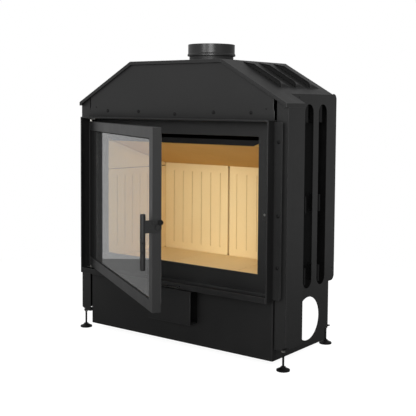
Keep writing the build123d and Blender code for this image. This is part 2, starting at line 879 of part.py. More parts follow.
def plinth_front():
    """Front panel with rounded upright bends and short returns, open behind."""
    middle_y = post_y + plinth_return
    plane = Plane((0, 0, plinth_bottom_z))
    outer = Pos(0, middle_y) * Rectangle(2 * plinth_half, 2 * plinth_return)
    outer = fillet(outer.vertices(), plinth_bend)
    inner_size = (2 * (plinth_half - sheet), 2 * (plinth_return - sheet))
    inner = Pos(0, middle_y) * Rectangle(*inner_size)
    inner = fillet(inner.vertices(), plinth_bend - sheet)
    panel = extrude(plane * (outer - inner), surround_bottom_z - plinth_bottom_z, dir=(0, 0, 1))
    panel -= block((-eave_half, eave_half), (middle_y, middle_y + 2 * plinth_return), (0, surround_top_z))
    inlet_z = (air_inlet_bottom_z, air_inlet_top_z)
    return panel - block((-air_inlet_half, air_inlet_half), (post_y - 1, post_y + 2 * sheet), inlet_z)


def inlet_cover():
    """Front plate on a top and a bottom flange, open at both sides."""
    xs = (-inlet_cover_half, inlet_cover_half)
    cover = block(xs, (inlet_cover_y, post_y), (inlet_cover_bottom_z, inlet_cover_top_z))
    hollow_z = (inlet_cover_bottom_z + sheet, inlet_cover_top_z - sheet)
    hollow_x = (-inlet_cover_half - 1, inlet_cover_half + 1)
    return cover - block(hollow_x, (inlet_cover_y + sheet, post_y + 1), hollow_z)


save("plinth_front", plinth_front())
save("inlet_cover", inlet_cover())

# ---------------------------------------------------------------- feet


def foot():
    """Round base with a bell and a threaded rod, at the local origin."""
    with BuildPart() as base:
        with BuildSketch(Plane.XZ):
            Polygon(
                (0, 0),
                (foot_radius, 0),
                (foot_radius, foot_edge),
                (foot_bell_radius, foot_bell_z - 3),
                (foot_bell_radius, foot_bell_z),
                (foot_rod_radius, foot_bell_z),
                (foot_rod_radius, foot_rod_top_z),
                (0, foot_rod_top_z),
                align=None,
            )
        revolve(axis=Axis.Z)
    return base.part


def foot_nut(seat_z):
    """Hexagon nut on the rod, tight under the seat."""
    plane = Plane((0, 0, seat_z - foot_nut_height))
    hexagon = RegularPolygon(foot_nut_across / 2, 6, major_radius=False)
    return extrude(plane * (hexagon - Circle(foot_rod_radius + running_gap)), foot_nut_height)


for corner, (foot_x, foot_y), seat_z in (
    ("front", front_foot, seat_bottom_z),
    ("rear", rear_foot, foot_notch_z),
):
    place = Pos(foot_x, foot_y, 0)
    save_pair(f"foot_{corner}", place * foot())
    save_pair(f"foot_nut_{corner}", place * foot_nut(seat_z))

# ---------------------------------------------------------------- door, drawn in its own frame

window_s = (door_stile, door_width - door_stile)
window_z = (door_bottom_z + door_rail, door_top_z - door_rail)
pocket_s = (window_s[0] - door_lap, window_s[1] + door_lap)
pocket_z = (window_z[0] - door_lap, window_z[1] + door_lap)


def grown(pair, by):
    return (pair[0] - by, pair[1] + by)


def hinge_bores():
    radius = hinge_pin_radius + running_gap
    depth = hinge_pin_reach + 1
    at = (hinge_inset, hinge_inset)
    lower = rod(radius, (*at, door_bottom_z - 1), (0, 0, 1), depth + 1)
    upper = rod(radius, (*at, door_top_z + 1), (0, 0, -1), depth + 1)
    return lower, upper


def door_frame():
    """Welded frame with a window and a pocket behind it for the glass."""
    frame = block((0, door_width), (0, door_thickness), (door_bottom_z, door_top_z))
    frame -= block(window_s, (-1, door_thickness + 1), window_z)
    frame -= block(pocket_s, (glass_setback, door_thickness + 1), pocket_z)
    frame -= block((trim_edge, door_stile), (-1, stile_recess), window_z)
    for bore in hinge_bores():
        frame -= bore
    pivot_start = (door_width + 1, pivot_t, pivot_z)
    frame -= rod(pivot_radius + running_gap, pivot_start, (-1, 0, 0), pivot_reach + 2)
    return frame


def hinge_trim():
    """Trim in the hinge stile's recess, which steps down over the edge of the glass."""
    s0 = trim_edge + fit_gap
    first, second = (trim_edge + step for step in trim_steps_s)
    s1 = trim_edge + trim_width
    depths = [trim_setback + i * trim_step for i in range(3)]
    outline = [
        (s0, stile_recess),
        (s0, depths[0]),
        (first, depths[0]),
        (first, depths[1]),
        (second, depths[1]),
        (second, depths[2]),
        (s1, depths[2]),
        (s1, glass_setback),
        (door_stile, glass_setback),
        (door_stile, stile_recess),
    ]
    plane = Plane((0, 0, window_z[0]))
    height = window_z[1] - window_z[0]
    return extrude(plane * Polygon(*outline, align=None), height, dir=(0, 0, 1))


def door_glass():
    glass_t = (glass_setback, glass_setback + glass_thickness)
    return block(grown(pocket_s, -glass_gap), glass_t, grown(pocket_z, -glass_gap))


def ring(outer_s, outer_z, width, ts):
    band = block(outer_s, ts, outer_z)
    return band - block(grown(outer_s, -width), (ts[0] - 1, ts[1] + 1), grown(outer_z, -width))


def door_gasket():
    outer_s = grown((0, door_width), -gasket_inset)
    outer_z = grown((door_bottom_z, door_top_z), -gasket_inset)
    return ring(outer_s, outer_z, gasket_width, (door_thickness, door_thickness + gasket_height))


def glass_clips():
    """Folded clips that hold the glass in its pocket, two above and two below."""
    back_t = glass_setback + glass_thickness
    clips = []
    for s in (door_width / 4, 3 * door_width / 4):
        for edge_z, into in ((pocket_z[0], 1), (pocket_z[1], -1)):
            clip_s = (s - clip_length / 2, s + clip_length / 2)
            foot_z = (edge_z, edge_z + into * clip_reach)
            wall_z = (edge_z, edge_z + into * clip_thickness)
            clip = block(clip_s, (back_t, back_t + clip_thickness), foot_z)
            clip += block(clip_s, (back_t + clip_thickness, door_thickness), wall_z)
            clips.append(clip)
    return joined(clips)


save("door_frame", door_place * door_frame())
save("door_hinge_trim", door_place * hinge_trim())
save("door_glass", door_place * door_glass())
save("door_gasket", door_place * door_gasket())
save("door_glass_clips", door_place * glass_clips())

# ---------------------------------------------------------------- hinge


def hinge_bracket(reach, z0, z1):
    """Flat plate from the face frame out to the hinge axis."""
    xs = (-surround_inner, hinge_x + reach)
    return block(xs, (hinge_y - hinge_plate_front, face_y), (z0, z1))


def hinge_pin(seat_z, door_z):
    """Pin with a collar that fills the gap between the plate and the door."""
    up = 1 if door_z > seat_z else -1
    axis = (0, 0, up)
    start = (hinge_x, hinge_y, seat_z)
    gap = abs(door_z - seat_z)
    collar = rod(hinge_collar_radius, start, axis, gap - fit_gap)
    return collar + rod(hinge_pin_radius, start, axis, gap + hinge_pin_reach)


top_plate = hinge_bracket(top_hinge_plate_reach, top_hinge_z, top_hinge_z + hinge_plate)
bottom_plate = hinge_bracket(bottom_hinge_plate_reach, bottom_hinge_z - hinge_plate, bottom_hinge_z)
save("hinge_bracket_top", top_plate)
save("hinge_bracket_bottom", bottom_plate)
save("hinge_pin_top", hinge_pin(top_hinge_z, door_top_z))
save("hinge_pin_bottom", hinge_pin(bottom_hinge_z, door_bottom_z))

# ---------------------------------------------------------------- handle, in the door's frame

plate_s = door_width + fit_gap


def handle_bar():
    length = handle_top_z - handle_bottom_z
    bar = rod(handle_radius, (handle_s, handle_t, handle_bottom_z), (0, 0, 1), length)
    bar = fillet(bar.edges().filter_by(GeomType.CIRCLE), handle_end_round)
    for i, z in enumerate(handle_holes_z):
        turn = radians(20 + 50 * (i % 2))
        axis = (sin(turn), -cos(turn), 0)
        start = (handle_s, handle_t, z)
        bar -= rod(handle_hole_radius, start, axis, 2 * handle_radius)
    return bar


def handle_plate_piece():
    """Plate beside the door's free edge, welded to the bar and turning with it."""
    ss = (plate_s, plate_s + handle_plate)
    plate = block(ss, (handle_t, handle_plate_back), (handle_plate_bottom_z, handle_plate_top_z))
    bar_core = rod(handle_radius, (handle_s, handle_t, 0), (0, 0, 1), door_top_z)
    plate -= bar_core
    plate -= block((plate_s - 1, ss[1] + 1), (handle_t - handle_radius, handle_t), (0, door_top_z))
    rear_corners = plate.edges().filter_by(Axis.X).sort_by(Axis.Y)[-2:].sort_by(Axis.Z)
    plate = fillet(rear_corners[0], handle_plate_low_round)
    return plate


def pivot_bolt():
    shank = rod(pivot_radius, (door_width - pivot_reach, pivot_t, pivot_z), (1, 0, 0), pivot_reach + fit_gap)
    seat = (plate_s + handle_plate, pivot_t, pivot_z)
    return shank + rod(pivot_radius, (plate_s, pivot_t, pivot_z), (1, 0, 0), handle_plate) + screw_head(
        pivot_head_radius, pivot_head, seat, (1, 0, 0)
    )


def latch_roller():
    start = (plate_s + handle_plate, roller_t, roller_z)
    return rod(roller_radius, start, (1, 0, 0), roller_width)


bolt = pivot_bolt()
save("handle_bar", door_place * handle_bar())
save("handle_plate", door_place * (handle_plate_piece() - bolt))
save("handle_pivot_bolt", door_place * bolt)
save("latch_roller", door_place * latch_roller())

# ---------------------------------------------------------------- air slide


def air_slide():
    """Plate on the surround's floor, with a tab through the cut-out in the lip and a grip on it."""
    bottom = surround_bottom_z + surround_floor + fit_gap
    zs = (bottom, bottom + slide_plate)
    xs = (slide_centre_x - slide_width / 2, slide_centre_x + slide_width / 2)
    tab_x = (slide_centre_x - slide_tab_width / 2, slide_centre_x + slide_tab_width / 2)
    tab_front = surround_front_y - slide_tab_reach
    plate = block(xs, (slide_front_y, slide_rear_y), zs)
    tab = block(tab_x, (tab_front, slide_front_y), zs)
    grip = rod(slide_grip_radius, (slide_centre_x, tab_front, zs[0]), (0, 0, -1), slide_grip_radius)
    return plate + tab + grip


save("air_slide", air_slide())

# ---------------------------------------------------------------- screws


def fasteners():
    heads = []
    for x, z in hood_screws:
        heads.append(screw_head(screw_radius, screw_height, (x, hood_plate_y, z), (0, -1, 0)))
    for x, z in hood_small_screws:
        seat = (x, hood_plate_y, z)
        heads.append(screw_head(small_screw_radius, small_screw_height, seat, (0, -1, 0)))
    for side in (-1, 1):
        for z in strip_screw_z:
            seat = (side * strip_screw_x, strip_y, z)
            heads.append(screw_head(screw_radius, screw_height, seat, (0, -1, 0)))
        for y, z in jacket_screws:
            seat = (side * side_x, y, z)
            heads.append(screw_head(small_screw_radius, small_screw_height, seat, (side, 0, 0)))
        seat = (side * vent_screw_x, surround_front_y, surround_bottom_z + lip_height / 2)
        heads.append(screw_head(small_screw_radius, small_screw_height, seat, (0, -1, 0)))
    return joined(heads)


save("screws", fasteners())
print("shift along Y", round(shift_y, 3))
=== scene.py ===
# %% [markdown]
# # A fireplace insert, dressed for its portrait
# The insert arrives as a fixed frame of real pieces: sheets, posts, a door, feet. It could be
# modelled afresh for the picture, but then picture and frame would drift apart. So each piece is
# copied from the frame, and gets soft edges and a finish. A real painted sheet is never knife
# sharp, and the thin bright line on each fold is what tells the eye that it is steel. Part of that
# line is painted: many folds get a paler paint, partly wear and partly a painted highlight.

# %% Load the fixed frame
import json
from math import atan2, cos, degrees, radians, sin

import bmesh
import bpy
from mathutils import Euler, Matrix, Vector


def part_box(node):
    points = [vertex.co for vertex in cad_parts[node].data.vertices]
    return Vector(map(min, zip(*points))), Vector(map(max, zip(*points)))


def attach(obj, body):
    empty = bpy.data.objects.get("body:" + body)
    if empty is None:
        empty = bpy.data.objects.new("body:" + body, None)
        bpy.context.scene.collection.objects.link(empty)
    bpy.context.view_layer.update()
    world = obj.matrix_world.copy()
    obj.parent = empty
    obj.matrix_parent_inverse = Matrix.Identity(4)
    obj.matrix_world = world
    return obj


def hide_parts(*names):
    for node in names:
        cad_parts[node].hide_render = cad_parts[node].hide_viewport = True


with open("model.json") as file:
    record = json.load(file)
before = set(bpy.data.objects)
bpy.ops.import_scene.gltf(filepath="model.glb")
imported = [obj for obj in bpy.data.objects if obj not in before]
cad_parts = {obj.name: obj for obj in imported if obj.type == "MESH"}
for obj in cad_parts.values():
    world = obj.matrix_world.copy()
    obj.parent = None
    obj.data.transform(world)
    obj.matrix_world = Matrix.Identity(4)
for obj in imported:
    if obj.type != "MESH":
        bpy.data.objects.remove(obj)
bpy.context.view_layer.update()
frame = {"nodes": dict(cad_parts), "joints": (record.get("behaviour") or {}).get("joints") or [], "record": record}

# %% [markdown]
# ## What the frame holds
# Every piece rides on a body: the insert itself, the door, the handle, the air control and four
# feet. The bodies could be typed in again for each piece. A small look-up made from the frame's
# record does it without slips, so that the dressed copies move with the same hinge or slide as the
# originals.

MM = 0.001
nodes = frame["nodes"]
joints = {joint["name"]: joint for joint in frame["joints"]}
body_of_node = {
    name: body
    for body, names in frame["record"]["behaviour"]["bodies"].items()
    for name in names
}

# %% [markdown]
# ## Camera
# The photograph was taken from the right and a little above, with a long lens. The lens looks
# nearly level and the picture is shifted down, as product photographers do to keep uprights
# upright. A camera could be aimed by eye. This one's lens, place and turn were fitted to edges of
# the insert instead. The place is in metres: to the right of the insert's middle, in front of the
# hood, and above the floor, so it could be checked with a tape measure. The angles are in radians.

# %% Camera at the photograph's place
PHOTO_SIZE = 416
SENSOR = 36.0
FOCAL_PIXELS = 859.27
CENTRE_ROW = 159.89
AZIMUTH = 0.6469
ELEVATION = 0.0645
ROLL = 0.0070
hood_front_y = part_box("hood_top")[0].y
CAMERA_PLACE = Vector((2.0024, -2.4385 + hood_front_y, 0.9070))


def camera_turn(azimuth, elevation, roll):
    """Columns: right, up and back of a camera that looks at the object from this side."""
    back = Vector((sin(azimuth) * cos(elevation), -cos(azimuth) * cos(elevation), sin(elevation)))
    right = (-back).cross(Vector((0, 0, 1))).normalized()
    up = right.cross(-back).normalized()
    turned_right = cos(roll) * right + sin(roll) * up
    turned_up = -sin(roll) * right + cos(roll) * up
    return Matrix((turned_right, turned_up, back)).transposed()


camera_data = bpy.data.cameras.new("photo_camera")
camera_data.sensor_width = SENSOR
camera_data.lens = FOCAL_PIXELS / PHOTO_SIZE * SENSOR
camera_data.shift_y = (CENTRE_ROW - PHOTO_SIZE / 2) / PHOTO_SIZE
camera = bpy.data.objects.new("photo_camera", camera_data)
turn = camera_turn(AZIMUTH, ELEVATION, ROLL).to_4x4()
camera.matrix_world = Matrix.Translation(CAMERA_PLACE) @ turn
bpy.context.scene.collection.objects.link(camera)
bpy.context.scene.camera = camera
print("lens", round(camera_data.lens, 2), "mm, shift", round(camera_data.shift_y, 4))

# %% [markdown]
# ## Small tools for node trees
# A material is a graph. It could be wired by hand in the editor, but written down it can be read,
# repeated and changed. These helpers keep each finish short: one makes a material with its main
# shader, one adds a node and sets its sockets by name, and the rest build what nearly every finish
# needs: noise, a colour ramp, a product, a sum and a bump.


# %% Helpers for materials
def node(tree, kind, **sockets):
    """Add a node and set its sockets by name, with underscores for spaces."""
    added = tree.nodes.new(kind)
    for name, value in sockets.items():
        added.inputs[name.replace("_", " ")].default_value = value
    return added


def new_finish(name):
    """A material and its main shader."""
    material = bpy.data.materials.new(name)
    material.use_nodes = True
    tree = material.node_tree
    shader = tree.nodes["Principled BSDF"]
    return material, tree, shader


def object_noise(tree, scale, detail, roughness=0.5, stretch=(1, 1, 1)):
    """Noise in metres of the object, optionally stretched along an axis."""
    place = tree.nodes.new("ShaderNodeTexCoord")
    mapping = node(tree, "ShaderNodeMapping", Scale=stretch)
    noise = node(tree, "ShaderNodeTexNoise", Scale=scale, Detail=detail, Roughness=roughness)
    tree.links.new(place.outputs["Object"], mapping.inputs["Vector"])
    tree.links.new(mapping.outputs["Vector"], noise.inputs["Vector"])
    return noise.outputs["Fac"]


def ramp(tree, fac, stops):
    """Colour ramp from (position, colour) stops; a colour may be one grey value."""
    added = tree.nodes.new("ShaderNodeValToRGB")
    tree.links.new(fac, added.inputs["Fac"])
    elements = added.color_ramp.elements
    while len(elements) < len(stops):
        elements.new(0.5)
    for element, (position, colour) in zip(elements, stops):
        element.position = position
        grey = isinstance(colour, (int, float))
        element.color = (colour, colour, colour, 1) if grey else (*colour, 1)
    return added.outputs["Color"]


def times(tree, first, second):
    """Product of two colours."""
    mixed = tree.nodes.new("ShaderNodeMix")
    mixed.data_type = "RGBA"
    mixed.blend_type = "MULTIPLY"
    mixed.inputs["Factor"].default_value = 1.0
    tree.links.new(first, mixed.inputs["A"])
    tree.links.new(second, mixed.inputs["B"])
    return mixed.outputs["Result"]


def lighter(tree, first, second):
    """Sum of two greys, one at most."""
    added = tree.nodes.new("ShaderNodeMath")
    added.operation = "ADD"
    added.use_clamp = True
    tree.links.new(first, added.inputs[0])
    tree.links.new(second, added.inputs[1])
    return added.outputs["Value"]


def bump(tree, shader, height, strength, distance):
    """Bump from a height, added to the shader's normal."""
    added = node(tree, "ShaderNodeBump", Strength=strength, Distance=distance)
    tree.links.new(height, added.inputs["Height"])
    tree.links.new(added.outputs["Normal"], shader.inputs["Normal"])
    return added


# %% [markdown]
# ## Satin black paint
# Stove paint is sprayed and baked: almost black, neither glossy nor dead flat. One flat black would
# do for a far view, but up close two things make it read as paint: a fine grain like the skin of an
# orange, and faint cloudiness in its sheen where hands and dust have been. Roughness carries the
# clouds, bump carries the grain. Dust gathers in corners, so a node that measures how closed in a
# spot is makes the paint rougher there. Outer folds get a second, slightly paler finish: partly paint
# that thins and wears there first, partly a painted highlight along each fold.


# %% Painted steel finishes
PAINT_BUMP = 0.35
PAINT_GRAIN_DEPTH = 0.00002
DUST_REACH = 0.04


def painted_steel(name, dark, light, rough_low, rough_high, grain=900.0, gloss=0.4):
    """Black paint: its greys, its roughness range, its grains a metre and its gloss."""
    material, tree, shader = new_finish(name)
    clouds = object_noise(tree, 3.5, detail=4.0)
    specks = object_noise(tree, 260.0, detail=3.0, roughness=0.7)
    cloudy = ramp(tree, clouds, [(0.3, dark), (0.7, light)])
    speckled = ramp(tree, specks, [(0.35, 0.9), (0.62, 1.0), (0.8, 1.25)])
    tree.links.new(times(tree, cloudy, speckled), shader.inputs["Base Color"])
    patches = object_noise(tree, 14.0, detail=5.0, roughness=0.6)
    sheen = ramp(tree, patches, [(0.25, rough_low), (0.75, rough_high)])
    corner = node(tree, "ShaderNodeAmbientOcclusion", Distance=DUST_REACH)
    corner.samples = 6
    dust = ramp(tree, corner.outputs["AO"], [(0.45, 0.5), (0.85, 0.0)])
    tree.links.new(lighter(tree, sheen, dust), shader.inputs["Roughness"])
    bump(tree, shader, object_noise(tree, grain, detail=2.0), PAINT_BUMP, PAINT_GRAIN_DEPTH)
    shader.inputs["Specular IOR Level"].default_value = gloss
    return material


satin_black = painted_steel("satin_black", 0.004, 0.006, 0.38, 0.48, gloss=0.36)
# The hood's black is a shade paler, a painted light on the top of the insert; the plinth's is a shade deeper, a
# painted shade at its foot.
lit_hood_black = painted_steel("lit_hood_black", 0.005, 0.007, 0.40, 0.50, gloss=0.34)
shaded_plinth_black = painted_steel("shaded_plinth_black", 0.003, 0.005, 0.40, 0.50, gloss=0.28)
matt_black = painted_steel("matt_black", 0.003, 0.005, 0.60, 0.70, gloss=0.15)
collar_grey = painted_steel("collar_grey", 0.006, 0.009, 0.28, 0.34, grain=500.0, gloss=0.36)
foot_black = painted_steel("foot_black", 0.002, 0.003, 0.35, 0.50, grain=1500.0, gloss=0.2)
screw_black = painted_steel("screw_black", 0.002, 0.003, 0.20, 0.26, gloss=0.2)
door_black = painted_steel("door_black", 0.005, 0.007, 0.38, 0.48, gloss=0.46)
# Paler paint for outer folds: partly wear, partly a painted highlight along each fold.
worn_edge_highlight = painted_steel("worn_edge_highlight", 0.018, 0.028, 0.34, 0.44)
print("painted finishes made")

# %% [markdown]
# ## Refractory board
# The firebox is lined with pressed boards of mineral flakes: pale tan, quite matt, with a crumbly
# grain of two to four millimetres and a few darker and lighter flakes. A picture of a board could
# be wrapped round each one, but it would repeat. So the finish is worked out from the place on the
# board: a slow noise lets the colour drift, a flake pattern of cells gives the bump, and a finer
# noise gives the specks. A node that measures how closed in a spot is browns the colour in joints,
# grooves and corners, which is painted shade. The baffle over the fire is a deeper tan, a painted
# shade as well, since it faces down, away from the light.


# %% Refractory board finish
CREVICE_SHADE_REACH = 0.012
CREVICE_SHADE = [(0.15, (0.12, 0.07, 0.03)), (0.5, (0.93, 0.89, 0.82)), (0.8, 1.0)]
FLAKE_BUMP = 0.4
FLAKE_DEPTH = 0.0003


def refractory_board(name, pale, deep):
    """Pressed board that drifts between a pale and a deep tan, with painted shade in its crevices."""
    material, tree, shader = new_finish(name)
    drift = object_noise(tree, 4.0, detail=3.0)
    grain = object_noise(tree, 420.0, detail=4.0, roughness=0.7)
    flakes = node(tree, "ShaderNodeTexVoronoi", Scale=330.0)
    place = tree.nodes.new("ShaderNodeTexCoord")
    tree.links.new(place.outputs["Object"], flakes.inputs["Vector"])
    base = ramp(tree, drift, [(0.3, deep), (0.7, pale)])
    speck = ramp(tree, grain, [(0.28, 0.86), (0.5, 1.0), (0.75, 1.06)])
    # Painted shade: the colour is browned where a spot is closed in.
    crevice = node(tree, "ShaderNodeAmbientOcclusion", Distance=CREVICE_SHADE_REACH)
    crevice.samples = 8
    crevice_shade = ramp(tree, crevice.outputs["AO"], CREVICE_SHADE)
    tree.links.new(times(tree, times(tree, base, speck), crevice_shade), shader.inputs["Base Color"])
    shader.inputs["Roughness"].default_value = 0.92
    shader.inputs["Specular IOR Level"].default_value = 0.25
    bump(tree, shader, flakes.outputs["Distance"], FLAKE_BUMP, FLAKE_DEPTH)
    return material


firebrick = refractory_board("firebrick", (0.82, 0.63, 0.33), (0.78, 0.585, 0.295))
# The baffle's deeper tan is a painted shade: it faces down, away from the light.
shaded_baffle_board = refractory_board("shaded_baffle_board", (0.64, 0.375, 0.115), (0.58, 0.335, 0.095))
print("board finishes made")

# %% [markdown]
# ## Glass, bright steel and sealing rope
# The pane is ceramic glass, four millimetres thick. At the photograph's slanting view it mirrors
# the pale studio beside it, which lays a milky veil over what is behind. The veil could be painted
# on, but a clear slab mirrors by itself, from every side; a trace of sheen stands for the dust on
# it, and a faint smear roughens it in patches. Pins are zinc plated and slightly brushed; nuts,
# hinge plates and the heads of small bolts are a duller zinc. The rope that seals the door is a
# dark braid.


# %% Glass, bright steel and rope finishes
GLASS_INDEX = 1.54
GLASS_DUST = 0.06
BRUSH_BUMP = 0.2
BRUSH_DEPTH = 0.00001
FIBRE_BUMP = 0.6
FIBRE_DEPTH = 0.0003


def clear_glass(name):
    material, tree, shader = new_finish(name)
    shader.inputs["Base Color"].default_value = (0.95, 0.96, 0.95, 1)
    shader.inputs["Transmission Weight"].default_value = 1.0
    shader.inputs["IOR"].default_value = GLASS_INDEX
    shader.inputs["Sheen Weight"].default_value = GLASS_DUST
    smear = object_noise(tree, 5.0, detail=5.0, roughness=0.65)
    tree.links.new(ramp(tree, smear, [(0.35, 0.0), (0.8, 0.03)]), shader.inputs["Roughness"])
    return material


def brushed_metal(name, colour, rough_low, rough_high, stretch):
    """Bare metal with brush strokes, which a small value in stretch draws out along that axis."""
    material, tree, shader = new_finish(name)
    shader.inputs["Metallic"].default_value = 1.0
    strokes = object_noise(tree, 700.0, detail=2.0, stretch=stretch)
    tone = ramp(tree, strokes, [(0.3, [c * 0.85 for c in colour]), (0.7, colour)])
    tree.links.new(tone, shader.inputs["Base Color"])
    dullness = ramp(tree, strokes, [(0.3, rough_low), (0.7, rough_high)])
    tree.links.new(dullness, shader.inputs["Roughness"])
    bump(tree, shader, strokes, BRUSH_BUMP, BRUSH_DEPTH)
    return material


def braided_rope(name):
    material, tree, shader = new_finish(name)
    fibres = object_noise(tree, 900.0, detail=3.0, roughness=0.7)
    tree.links.new(ramp(tree, fibres, [(0.3, 0.016), (0.7, 0.05)]), shader.inputs["Base Color"])
    shader.inputs["Roughness"].default_value = 0.95
    shader.inputs["Sheen Weight"].default_value = 0.3
    bump(tree, shader, fibres, FIBRE_BUMP, FIBRE_DEPTH)
    return material


door_pane = clear_glass("door_pane")
bright_zinc = brushed_metal("bright_zinc", (0.34, 0.33, 0.31), 0.28, 0.42, (1, 1, 0.08))
dull_zinc = brushed_metal("dull_zinc", (0.20, 0.20, 0.19), 0.35, 0.50, (1, 1, 0.3))
sealing_rope = braided_rope("sealing_rope")
print("glass, zinc and rope made")

# %% [markdown]
# ## Softened edges
# A fold of two-millimetre sheet has a radius of about one millimetre. Such roundings could be cut
# into the frame's solids, but they would only make the physics slower. So each solid is copied, its
# loose triangles are welded and flattened into clean faces, and a narrow bevel rounds the folds.
# The copy stands for the piece; the original keeps its job in the physics. Where a piece has a
# finish for its edges, the bevel's own faces take it.


# %% Helper that softens a piece's edges
CREASE = radians(32)
WELD_DISTANCE = 0.00002
FLAT_ANGLE = radians(0.6)
BEVEL_ROUNDS = 2


def welded_mesh(name, sources):
    """One clean mesh from the loose triangles of some CAD pieces."""
    welded = bmesh.new()
    for source in sources:
        welded.from_mesh(nodes[source].data)
    bmesh.ops.remove_doubles(welded, verts=welded.verts, dist=WELD_DISTANCE)
    bmesh.ops.dissolve_limit(
        welded, angle_limit=FLAT_ANGLE, verts=welded.verts, edges=welded.edges
    )
    for face in welded.faces:
        face.smooth = True
    for edge in welded.edges:
        edge.smooth = len(edge.link_faces) == 2 and edge.calc_face_angle(0) < CREASE
    mesh = bpy.data.meshes.new(name)
    welded.to_mesh(mesh)
    welded.free()
    return mesh


def add_piece(name, mesh, finishes, body):
    """Put a finished mesh in the scene, riding on its body."""
    piece = bpy.data.objects.new(name, mesh)
    bpy.context.scene.collection.objects.link(piece)
    if finishes:
        mesh.materials.clear()
        for finish in finishes:
            mesh.materials.append(finish)
    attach(piece, body)
    return piece


def soften(source, finish, radius=0.9 * MM, edge_finish=None):
    """A copy of one CAD piece with rounded edges, in the given finish."""
    mesh = welded_mesh(f"{source}_soft", [source])
    finishes = [finish] if edge_finish is None else [finish, edge_finish]
    piece = add_piece(f"{source}_soft", mesh, finishes, body_of_node[source])
    bevel = piece.modifiers.new("rounded_edges", "BEVEL")
    bevel.width = radius
    bevel.segments = BEVEL_ROUNDS
    bevel.limit_method = "ANGLE"
    bevel.angle_limit = CREASE
    bevel.harden_normals = True
    bevel.use_clamp_overlap = True
    bevel.material = len(finishes) - 1 if edge_finish else -1
    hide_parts(source)
    return piece


# %% [markdown]
# ## The painted sheets
# Hood, posts, strips, side sheets and plinth are folded from two-millimetre sheet and painted
# black. One black could serve them all, but the hood is given a shade greyer black, a painted light
# where more light falls on the top of the insert, and the plinth a shade deeper one, a painted
# shade at its foot. So there are three. What lies further in, such as the fins behind the slots and
# the strip over the window, is matt. Lists of names keep the finishes apart, and one loop dresses
# each list.

# %% Painted sheets and plates of the body
HOOD = (
    "hood_top", "hood_slope_left", "hood_slope_right", "hood_front_plate",
    "cover_strip_left", "cover_strip_right",
)
BODY = (
    "corner_post_left", "corner_post_right", "side_sheet_left", "side_sheet_right", "back_panel",
    "face_frame", "keeper_plate",
)
PLINTH = (
    "surround_wall_left", "surround_wall_right", "surround_top", "surround_floor",
    "plinth_front", "inlet_cover", "air_slide",
)
INSIDE = ("firebox_casing", "side_fins_left", "side_fins_right", "air_box", "air_wash_strip")
# The hood takes the painted light, the plinth the painted shade, the rest the plain black.
for finish, sources in ((lit_hood_black, HOOD), (satin_black, BODY), (shaded_plinth_black, PLINTH)):
    for source in sources:
        # The folds take the paler edge paint: partly wear, partly a painted highlight.
        soften(source, finish, edge_finish=worn_edge_highlight)
for source in INSIDE:
    soften(source, matt_black)
soften("flue_neck", collar_grey, 0.6 * MM)
soften("flue_collar", collar_grey, 0.8 * MM)
print("body pieces softened:", len(HOOD) + len(BODY) + len(PLINTH) + len(INSIDE) + 2)

# %% [markdown]
# ## Guides behind the louvres, and the cove under the window
# Behind each louvre's mouth an upright guide turns the warm air. Under the window a cove closes the
# corner between the face and the surround's floor, and gives the soft shade that a rounded corner
# has. Both could be solids of the frame, but they are too thin to matter to the physics, so they
# are drawn here, each as an outline that is pushed along a straight line.

# %% Louvre guides and cove
ROOF_RISE, ROOF_RUN = 154.0, 271.0
ROOF_SLOPE = atan2(ROOF_RISE, ROOF_RUN)
RIDGE = (215.0 * MM, 1067.0 * MM)
LOUVRE_MOUTHS = (122.0 * MM, 222.0 * MM, 322.0 * MM)
GUIDE_OUTLINE = ((13, -0.6), (58, 12.8), (182, 12.8), (191, 9.2), (196, -0.6))
GUIDE_SETBACK = 5 * MM
GUIDE_THICKNESS = 1 * MM


def louvre_guides():
    """An upright plate behind each louvre's mouth, on both slopes of the hood."""
    plates = bmesh.new()
    for side in (-1, 1):
        for mouth in LOUVRE_MOUTHS:
            loops = []
            for y in (mouth + GUIDE_SETBACK, mouth + GUIDE_SETBACK + GUIDE_THICKNESS):
                loop = []
                for along, above in GUIDE_OUTLINE:
                    x = RIDGE[0] + (along * cos(ROOF_SLOPE) + above * sin(ROOF_SLOPE)) * MM
                    z = RIDGE[1] + (-along * sin(ROOF_SLOPE) + above * cos(ROOF_SLOPE)) * MM
                    loop.append(plates.verts.new((side * x, hood_front_y + y, z)))
                loops.append(loop)
            plates.faces.new(loops[0])
            plates.faces.new(loops[1])
            for i in range(len(GUIDE_OUTLINE)):
                j = (i + 1) % len(GUIDE_OUTLINE)
                plates.faces.new((loops[0][i], loops[0][j], loops[1][j], loops[1][i]))
    bmesh.ops.recalc_face_normals(plates, faces=plates.faces)
    mesh = bpy.data.meshes.new("louvre_guides")
    plates.to_mesh(mesh)
    plates.free()
    return mesh


COVE_RADIUS = 15 * MM
COVE_SHEET = 1 * MM
COVE_STEPS = 10
COVE_LIFT = 3.2 * MM
COVE_END_GAP = 2 * MM


